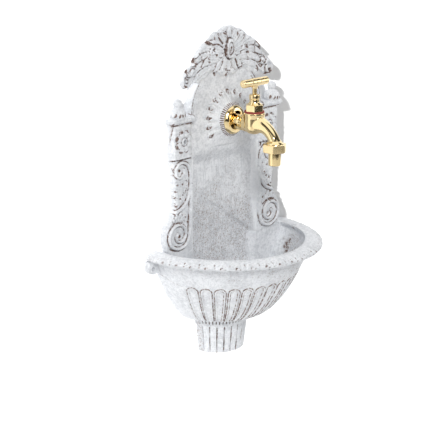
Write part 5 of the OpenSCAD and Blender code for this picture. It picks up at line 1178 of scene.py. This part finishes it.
def paintedCasting(group, name):
    mat, w, shader = newMaterial(name, Metallic=0.0)
    shader.inputs["Specular IOR Level"].default_value = 0.35
    place = w.node("ShaderNodeTexCoord").outputs["Object"]
    hollow = w.node("ShaderNodeAttribute", attribute_name="hollowness").outputs["Fac"]
    paint = w.node("ShaderNodeGroup", node_tree=group)
    w.join(place, paint.inputs["Place"])
    split = w.node("ShaderNodeSeparateXYZ")
    w.join(place, split.inputs[0])
    x, y, z = split.outputs
    # specks crowd low down in the niche and on the bowl's band, mostly at the right
    niche = w.math("MULTIPLY", w.ramp(w.math("ABSOLUTE", x), 0.053, 0.044), w.ramp(y, -0.0115, -0.0085))
    # the niche's floor has no wear of its own, and the strip of its side walls carries a painted highlight
    side = w.math("ABSOLUTE", x)
    low = w.ramp(z, 0.255, 0.249)
    floor = w.math("MULTIPLY", w.math("MULTIPLY", w.ramp(side, 0.0520, 0.0505), w.ramp(y, -0.0115, -0.0085)), low)
    paintedHighlightStrip = w.math("MULTIPLY", w.ramp(side, 0.0500, 0.0514), w.ramp(side, 0.0572, 0.0558))
    paintedHighlightStrip = w.math("MULTIPLY", w.math("MULTIPLY", paintedHighlightStrip, low), w.ramp(y, -0.0210, -0.0180))
    kept = w.math("MULTIPLY", hollow, w.math("SUBTRACT", 1.0, w.math("MAXIMUM", floor, paintedHighlightStrip)))
    # painted highlight: above 14 cm the strip's hollowness is pushed below zero, which lightens it
    bright = w.math("MULTIPLY", paintedHighlightStrip, w.ramp(z, 0.126, 0.142))
    w.join(w.math("MULTIPLY_ADD", bright, -0.34, kept), paint.inputs["Hollowness"])
    inNiche = w.math("MULTIPLY", niche, w.ramp(z, 0.240, 0.165, 0.28, 0.84))
    band = w.math("MULTIPLY", w.math("MULTIPLY", w.ramp(z, 0.100, 0.106), w.ramp(z, 0.136, 0.126)), w.ramp(x, -0.06, 0.05, 0.35, 1.0))
    band = w.math("MULTIPLY", band, w.ramp(y, -0.02, -0.03))
    crowd = w.math("MAXIMUM", inNiche, w.math("MULTIPLY", band, 0.85))
    w.join(w.math("MULTIPLY_ADD", crowd, 0.74, 0.22), paint.inputs["Specks"])
    w.join(niche, paint.inputs["Streaks"])
    # painted shade: the paint is greyed on the bowl's band under the rim, more towards the right; a little greyer paint
    # in the niche
    paintWithBandShade = w.mix(w.math("MULTIPLY_ADD", band, 0.22, w.math("MULTIPLY", niche, 0.06)), paintLook["paint"], paintLook["shade"])
    w.join(paintWithBandShade, paint.inputs["Paint"])
    w.join(paint.outputs["Color"], shader.inputs["Base Color"])
    w.join(paint.outputs["Roughness"], shader.inputs["Roughness"])
    bump = w.node("ShaderNodeBump")
    bump.inputs["Strength"].default_value = 0.6
    bump.inputs["Distance"].default_value = 0.0006
    w.join(paint.outputs["Height"], bump.inputs["Height"])
    w.join(bump.outputs[0], shader.inputs["Normal"])
    return mat


def metalSkinGroup():  # fine scratches, handling stains and an as-cast roughness for metals
    group, gin, gout = newGroup("metalSkin", [
        ("Place", "NodeSocketVector", (0, 0, 0)), ("Bright", "NodeSocketColor", (0.9, 0.7, 0.3, 1)),
        ("Dull", "NodeSocketColor", (0.6, 0.4, 0.15, 1)), ("Cast", "NodeSocketFloat", 0.0)],
        [("Color", "NodeSocketColor"), ("Roughness", "NodeSocketFloat"), ("Height", "NodeSocketFloat")])
    w = Wires(group)
    place, cast = gin.outputs["Place"], gin.outputs["Cast"]
    stain = w.noise(place, 120, 4, 0.6)
    scratch = w.noise(w.mapped(place, (300, 300, 5200), (0.25, 0.1, 0.3)), 1.0, 2, 0.5)
    pits = w.noise(place, 1500, 3, 0.6)
    tarnish = w.math("ADD", w.math("MULTIPLY", w.ramp(stain, 0.5, 0.75), 0.3), w.math("MULTIPLY", cast, 0.55), clamp=True)
    w.join(w.mix(tarnish, gin.outputs["Bright"], gin.outputs["Dull"]), gout.inputs["Color"])
    rough = w.math("ADD", w.ramp(stain, 0.4, 0.8, 0.07, 0.16), w.math("MULTIPLY", cast, 0.34))
    rough = w.math("ADD", rough, w.math("MULTIPLY", w.math("SUBTRACT", scratch, 0.5), 0.08))
    w.join(rough, gout.inputs["Roughness"])
    height = w.math("ADD", w.math("MULTIPLY", scratch, 0.10), w.math("MULTIPLY", w.math("MULTIPLY", pits, cast), 1.2))
    w.join(height, gout.inputs["Height"])
    return group


def metal(group, name, bright, dull, cast, underside=False, depth=0.00022):
    mat, w, shader = newMaterial(name, Metallic=1.0)
    place = w.node("ShaderNodeTexCoord").outputs["Object"]
    skin = w.node("ShaderNodeGroup", node_tree=group)
    w.join(place, skin.inputs["Place"])
    skin.inputs["Bright"].default_value = bright
    skin.inputs["Dull"].default_value = dull
    skin.inputs["Cast"].default_value = cast
    if underside:  # left as cast where it faces down
        normal = w.node("ShaderNodeNewGeometry").outputs["Normal"]
        split = w.node("ShaderNodeSeparateXYZ")
        w.join(normal, split.inputs[0])
        ragged = w.math("MULTIPLY_ADD", w.noise(place, 160, 3, 0.6), 0.4, -0.2)
        w.join(w.ramp(w.math("ADD", split.outputs["Z"], ragged), -0.35, -0.75, 0.0, 0.9), skin.inputs["Cast"])
    w.join(skin.outputs["Color"], shader.inputs["Base Color"])
    w.join(skin.outputs["Roughness"], shader.inputs["Roughness"])
    bump = w.node("ShaderNodeBump")
    bump.inputs["Strength"].default_value = 0.4
    bump.inputs["Distance"].default_value = depth
    w.join(skin.outputs["Height"], bump.inputs["Height"])
    w.join(bump.outputs[0], shader.inputs["Normal"])
    return mat


def softRing(name, low, high, rough, scale):
    mat, w, shader = newMaterial(name)
    place = w.node("ShaderNodeTexCoord").outputs["Object"]
    grain = w.noise(place, scale, 4, 0.65)
    w.join(w.mix(w.ramp(grain, 0.35, 0.65), low, high), shader.inputs["Base Color"])
    w.join(w.ramp(grain, 0.3, 0.7, rough - 0.08, rough + 0.08), shader.inputs["Roughness"])
    bump = w.node("ShaderNodeBump")
    bump.inputs["Strength"].default_value = 0.5
    bump.inputs["Distance"].default_value = 0.0001
    w.join(grain, bump.inputs["Height"])
    w.join(bump.outputs[0], shader.inputs["Normal"])
    return mat


# Stage, lights and camera

stageLook = {"wallGlow": 0.42, "floorZ": -0.75, "sunEnergy": 1.66, "sunAngle": 14.0, "fillLeft": 2.2, "fillRight": 2.2, "room": 0.53,
             "shadowEnergy": 6.6, "shadowAngle": 3.0}


def buildStage():
    # a white wall behind the fountain that the camera sees as plain white where no shadow falls
    deselectAll()
    bpy.ops.mesh.primitive_plane_add(size=8, location=(0, 0.0006, 0.3), rotation=(math.pi / 2, 0, 0))
    wall = bakePlace(named("stageWall"))
    mat = bpy.data.materials.new("wallWhite")
    mat.use_nodes = True
    tree = mat.node_tree
    tree.nodes.clear()
    w = Wires(tree)
    diffuse = w.node("ShaderNodeBsdfDiffuse")
    diffuse.inputs["Color"].default_value = (0.95, 0.95, 0.95, 1)
    glow = w.node("ShaderNodeEmission")
    path = w.node("ShaderNodeLightPath")
    # soft light between the wall and the hollow backs, so that they read from behind
    split = w.node("ShaderNodeSeparateXYZ")
    w.join(w.node("ShaderNodeTexCoord").outputs["Object"], split.inputs[0])
    behind = w.math("MULTIPLY", w.ramp(w.math("ABSOLUTE", split.outputs[0]), 0.115, 0.090), w.ramp(split.outputs[2], 0.395, 0.370))
    behind = w.math("MULTIPLY", behind, w.ramp(split.outputs[2], 0.02, 0.05))
    behind = w.math("MULTIPLY", behind, path.outputs["Is Diffuse Ray"])
    w.join(w.math("MULTIPLY", behind, stageLook["wallGlow"]), glow.inputs["Strength"])
    mat.cycles.emission_sampling = "NONE"
    add = w.node("ShaderNodeAddShader")
    w.join(diffuse.outputs[0], add.inputs[0])
    w.join(glow.outputs[0], add.inputs[1])
    clear = w.node("ShaderNodeBsdfTransparent")
    pickSide = w.node("ShaderNodeMixShader")
    w.join(w.node("ShaderNodeNewGeometry").outputs["Backfacing"], pickSide.inputs[0])
    w.join(add.outputs[0], pickSide.inputs[1])
    w.join(clear.outputs[0], pickSide.inputs[2])
    w.join(pickSide.outputs[0], w.node("ShaderNodeOutputMaterial").inputs[0])
    wall.data.materials.append(mat)
    deselectAll()
    bpy.ops.mesh.primitive_plane_add(size=9, location=(0, 0, stageLook["floorZ"]))
    floor = bakePlace(named("stageFloor"))
    pale, w, shader = newMaterial("floorPale", Roughness=0.8)
    shader.inputs["Base Color"].default_value = (0.9, 0.9, 0.9, 1)
    floor.data.materials.append(pale)
    return wall


def addLight(name, kind, place, aim, energy, color=(1, 1, 1), size=1.0, sizeY=None, angle=0.0):
    data = bpy.data.lights.new(name, kind)
    data.energy = energy
    data.color = color
    if kind == "AREA":
        data.size = size
        if sizeY:
            data.shape = "RECTANGLE"
            data.size_y = sizeY
    if kind == "SUN":
        data.angle = math.radians(angle)
    obj = bpy.data.objects.new(name, data)
    obj.location = place
    obj.rotation_euler = (Vector(aim) - Vector(place)).to_track_quat("-Z", "Y").to_euler()
    bpy.context.scene.collection.objects.link(obj)
    return obj


def buildLights(wall):
    aim = Vector((0, -0.04, 0.2))
    key = addLight("keySun", "SUN", aim + Vector((-0.72, -1.0, 0.82)), aim, stageLook["sunEnergy"], (1, 0.995, 0.985),
                   angle=stageLook["sunAngle"])
    left = addLight("fillLeft", "AREA", (-1.6, -0.9, 0.9), aim, stageLook["fillLeft"], (0.94, 0.97, 1), 1.0, 1.4)
    right = addLight("fillRight", "AREA", (1.2, -1.5, 0.7), aim, stageLook["fillRight"], (0.95, 0.97, 1), 0.9, 1.2)
    shadow = addLight("shadowSun", "SUN", aim + Vector((-2.05, -1.0, 1.03)), aim, stageLook["shadowEnergy"], angle=stageLook["shadowAngle"])
    # the shadow lamp lights the wall and no piece, the others light the pieces and not the wall
    for lamp, state in ((key, "EXCLUDE"), (left, "EXCLUDE"), (right, "EXCLUDE"), (shadow, "INCLUDE")):
        chosen = bpy.data.collections.new(lamp.name + "Lit")
        chosen.objects.link(wall)
        chosen.collection_objects[0].light_linking.link_state = state
        lamp.light_linking.receiver_collection = chosen
    world = bpy.data.worlds.new("studio")
    bpy.context.scene.world = world
    world.use_nodes = True
    tree = world.node_tree
    tree.nodes.clear()
    w = Wires(tree)
    back = w.node("ShaderNodeBackground")
    path = w.node("ShaderNodeLightPath")
    seen = w.math("MAXIMUM", path.outputs["Is Camera Ray"], path.outputs["Is Transmission Ray"])
    direction = w.node("ShaderNodeTexCoord").outputs["Generated"]

    def card(way, edge, full):  # a soft-edged patch of the room round a direction
        dot = w.node("ShaderNodeVectorMath", operation="DOT_PRODUCT")
        w.join(direction, dot.inputs[0])
        dot.inputs[1].default_value = Vector(way).normalized()
        return w.ramp(dot.outputs["Value"], edge, full)

    high = w.ramp(card((0, 0, 1), -1, 1), 0.3, 0.8, 0.3, 1.0)
    room = w.math("MULTIPLY", high, stageLook["room"])
    # what the brass mirrors: a dim room with a bright card at the left, one overhead and one at the right
    cards = w.math("MULTIPLY_ADD", card((-0.48, -0.86, 0.30), 0.962, 0.982), 3.0, 0.08)
    cards = w.math("MULTIPLY_ADD", card((0.78, -0.62, 0.22), 0.945, 0.97), 2.4, cards)
    cards = w.math("MULTIPLY_ADD", card((-1.0, -0.12, 0.25), 0.80, 0.92), 0.30, cards)
    cards = w.math("MULTIPLY_ADD", card((0.1, -0.25, 1.0), 0.86, 0.93), 1.5, cards)
    cards = w.math("MULTIPLY_ADD", card((-0.35, -0.8, -0.6), 0.90, 0.96), 0.5, cards)
    level = w.node("ShaderNodeMix", data_type="FLOAT")
    for sock, value in zip(level.inputs, (path.outputs["Is Glossy Ray"], None, room, cards)):
        if value is not None:
            w.put(sock, value)
    plain = w.node("ShaderNodeMix", data_type="FLOAT")
    for sock, value in zip(plain.inputs, (seen, None, level.outputs[0], 1.0)):
        if value is not None:
            w.put(sock, value)
    w.join(plain.outputs[0], back.inputs["Strength"])
    w.join(back.outputs[0], w.node("ShaderNodeOutputWorld").inputs[0])
    return shadow


def buildCamera():
    place = Vector((-1.3365, -1.3146, 0.6904))
    target = Vector((-0.04677, -0.04, 0.18374))
    look = (target - place).normalized()
    right = look.cross(Vector((0, 0, 1))).normalized()
    up = right.cross(look)
    roll = math.radians(0.471)
    right, up = right * math.cos(roll) + up * math.sin(roll), up * math.cos(roll) - right * math.sin(roll)
    data = bpy.data.cameras.new("photoCamera")
    data.sensor_width = 36
    data.sensor_fit = "HORIZONTAL"
    data.lens = 1600.6 / 430 * 36
    data.clip_end = 50
    cam = bpy.data.objects.new("photoCamera", data)
    cam.matrix_world = Matrix.Translation(place) @ Matrix((right, up, -look)).transposed().to_4x4()
    bpy.context.scene.collection.objects.link(cam)
    bpy.context.scene.camera = cam


# Everything together

buildCamera()
shadowSun = buildLights(buildStage())
bpy.context.scene.view_settings.view_transform = "Standard"
print("stage set")

wornPaintAndHighlight, metalSkin = wornPaintAndHighlightGroup(), metalSkinGroup()
castingPaint = paintedCasting(wornPaintAndHighlight, "castingPaint")
finishes = {
    "polished_brass": metal(metalSkin, "polishedBrass", (0.87, 0.69, 0.38, 1), (0.56, 0.40, 0.18, 1), 0.0),
    "cast_brass": metal(metalSkin, "turnedBrass", (0.78, 0.58, 0.28, 1), (0.52, 0.36, 0.15, 1), 0.35),
    "zinc_steel": metal(metalSkin, "zincSteel", (0.66, 0.68, 0.70, 1), (0.48, 0.50, 0.52, 1), 0.25),
    "black_rubber": softRing("blackRubber", (0.025, 0.025, 0.027, 1), (0.05, 0.05, 0.052, 1), 0.72, 900),
    "red_fibre": softRing("redFibre", (0.21, 0.03, 0.028, 1), (0.36, 0.06, 0.045, 1), 0.75, 1400),
    "packing_yarn": softRing("packingYarn", (0.60, 0.58, 0.52, 1), (0.80, 0.78, 0.72, 1), 0.85, 1800),
}
tapBrass = metal(metalSkin, "tapBrass", (0.87, 0.69, 0.38, 1), (0.70, 0.52, 0.27, 1), 0.0, underside=True)
satinBrass = metal(metalSkin, "satinBrass", (0.87, 0.70, 0.40, 1), (0.66, 0.50, 0.27, 1), 0.45)


def place(piece, material, nodes, body, slot):
    piece.data.materials.clear()
    piece.data.materials.append(material)
    for poly in piece.data.polygons:
        poly.material_index = 0
    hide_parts(*nodes)
    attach(piece, body)


plate = buildPlate()
place(plate, castingPaint, ["back_plate"], "fountain", "painted_casting")
blockers = bpy.data.collections.new("shadowBlockers")  # the photo shows only the plate's shadow on the wall
blockers.objects.link(plate)
shadowSun.light_linking.blocker_collection = blockers
print("plate ready")
place(buildBasin(), castingPaint, ["basin"], "fountain", "painted_casting")
print("basin ready")
for name, (piece, node, body, slot) in buildTap().items():
    brass = {"tap_body": tapBrass, "union_nut": satinBrass, "t_handle": satinBrass}.get(node, finishes[slot])
    place(piece, brass, [node], body, slot)
print("tap ready")

replaced = {"back_plate", "basin", "tap_body", "wall_flange", "bonnet", "gland_nut", "t_handle", "union_nut", "hose_tail"}
for part in frame["record"]["subparts"]:
    if part["node"] not in replaced:
        obj = frame["nodes"][part["node"]]
        for slotIndex in range(len(obj.material_slots)):
            obj.material_slots[slotIndex].material = finishes[part["material_slot"]]
print("small parts finished")
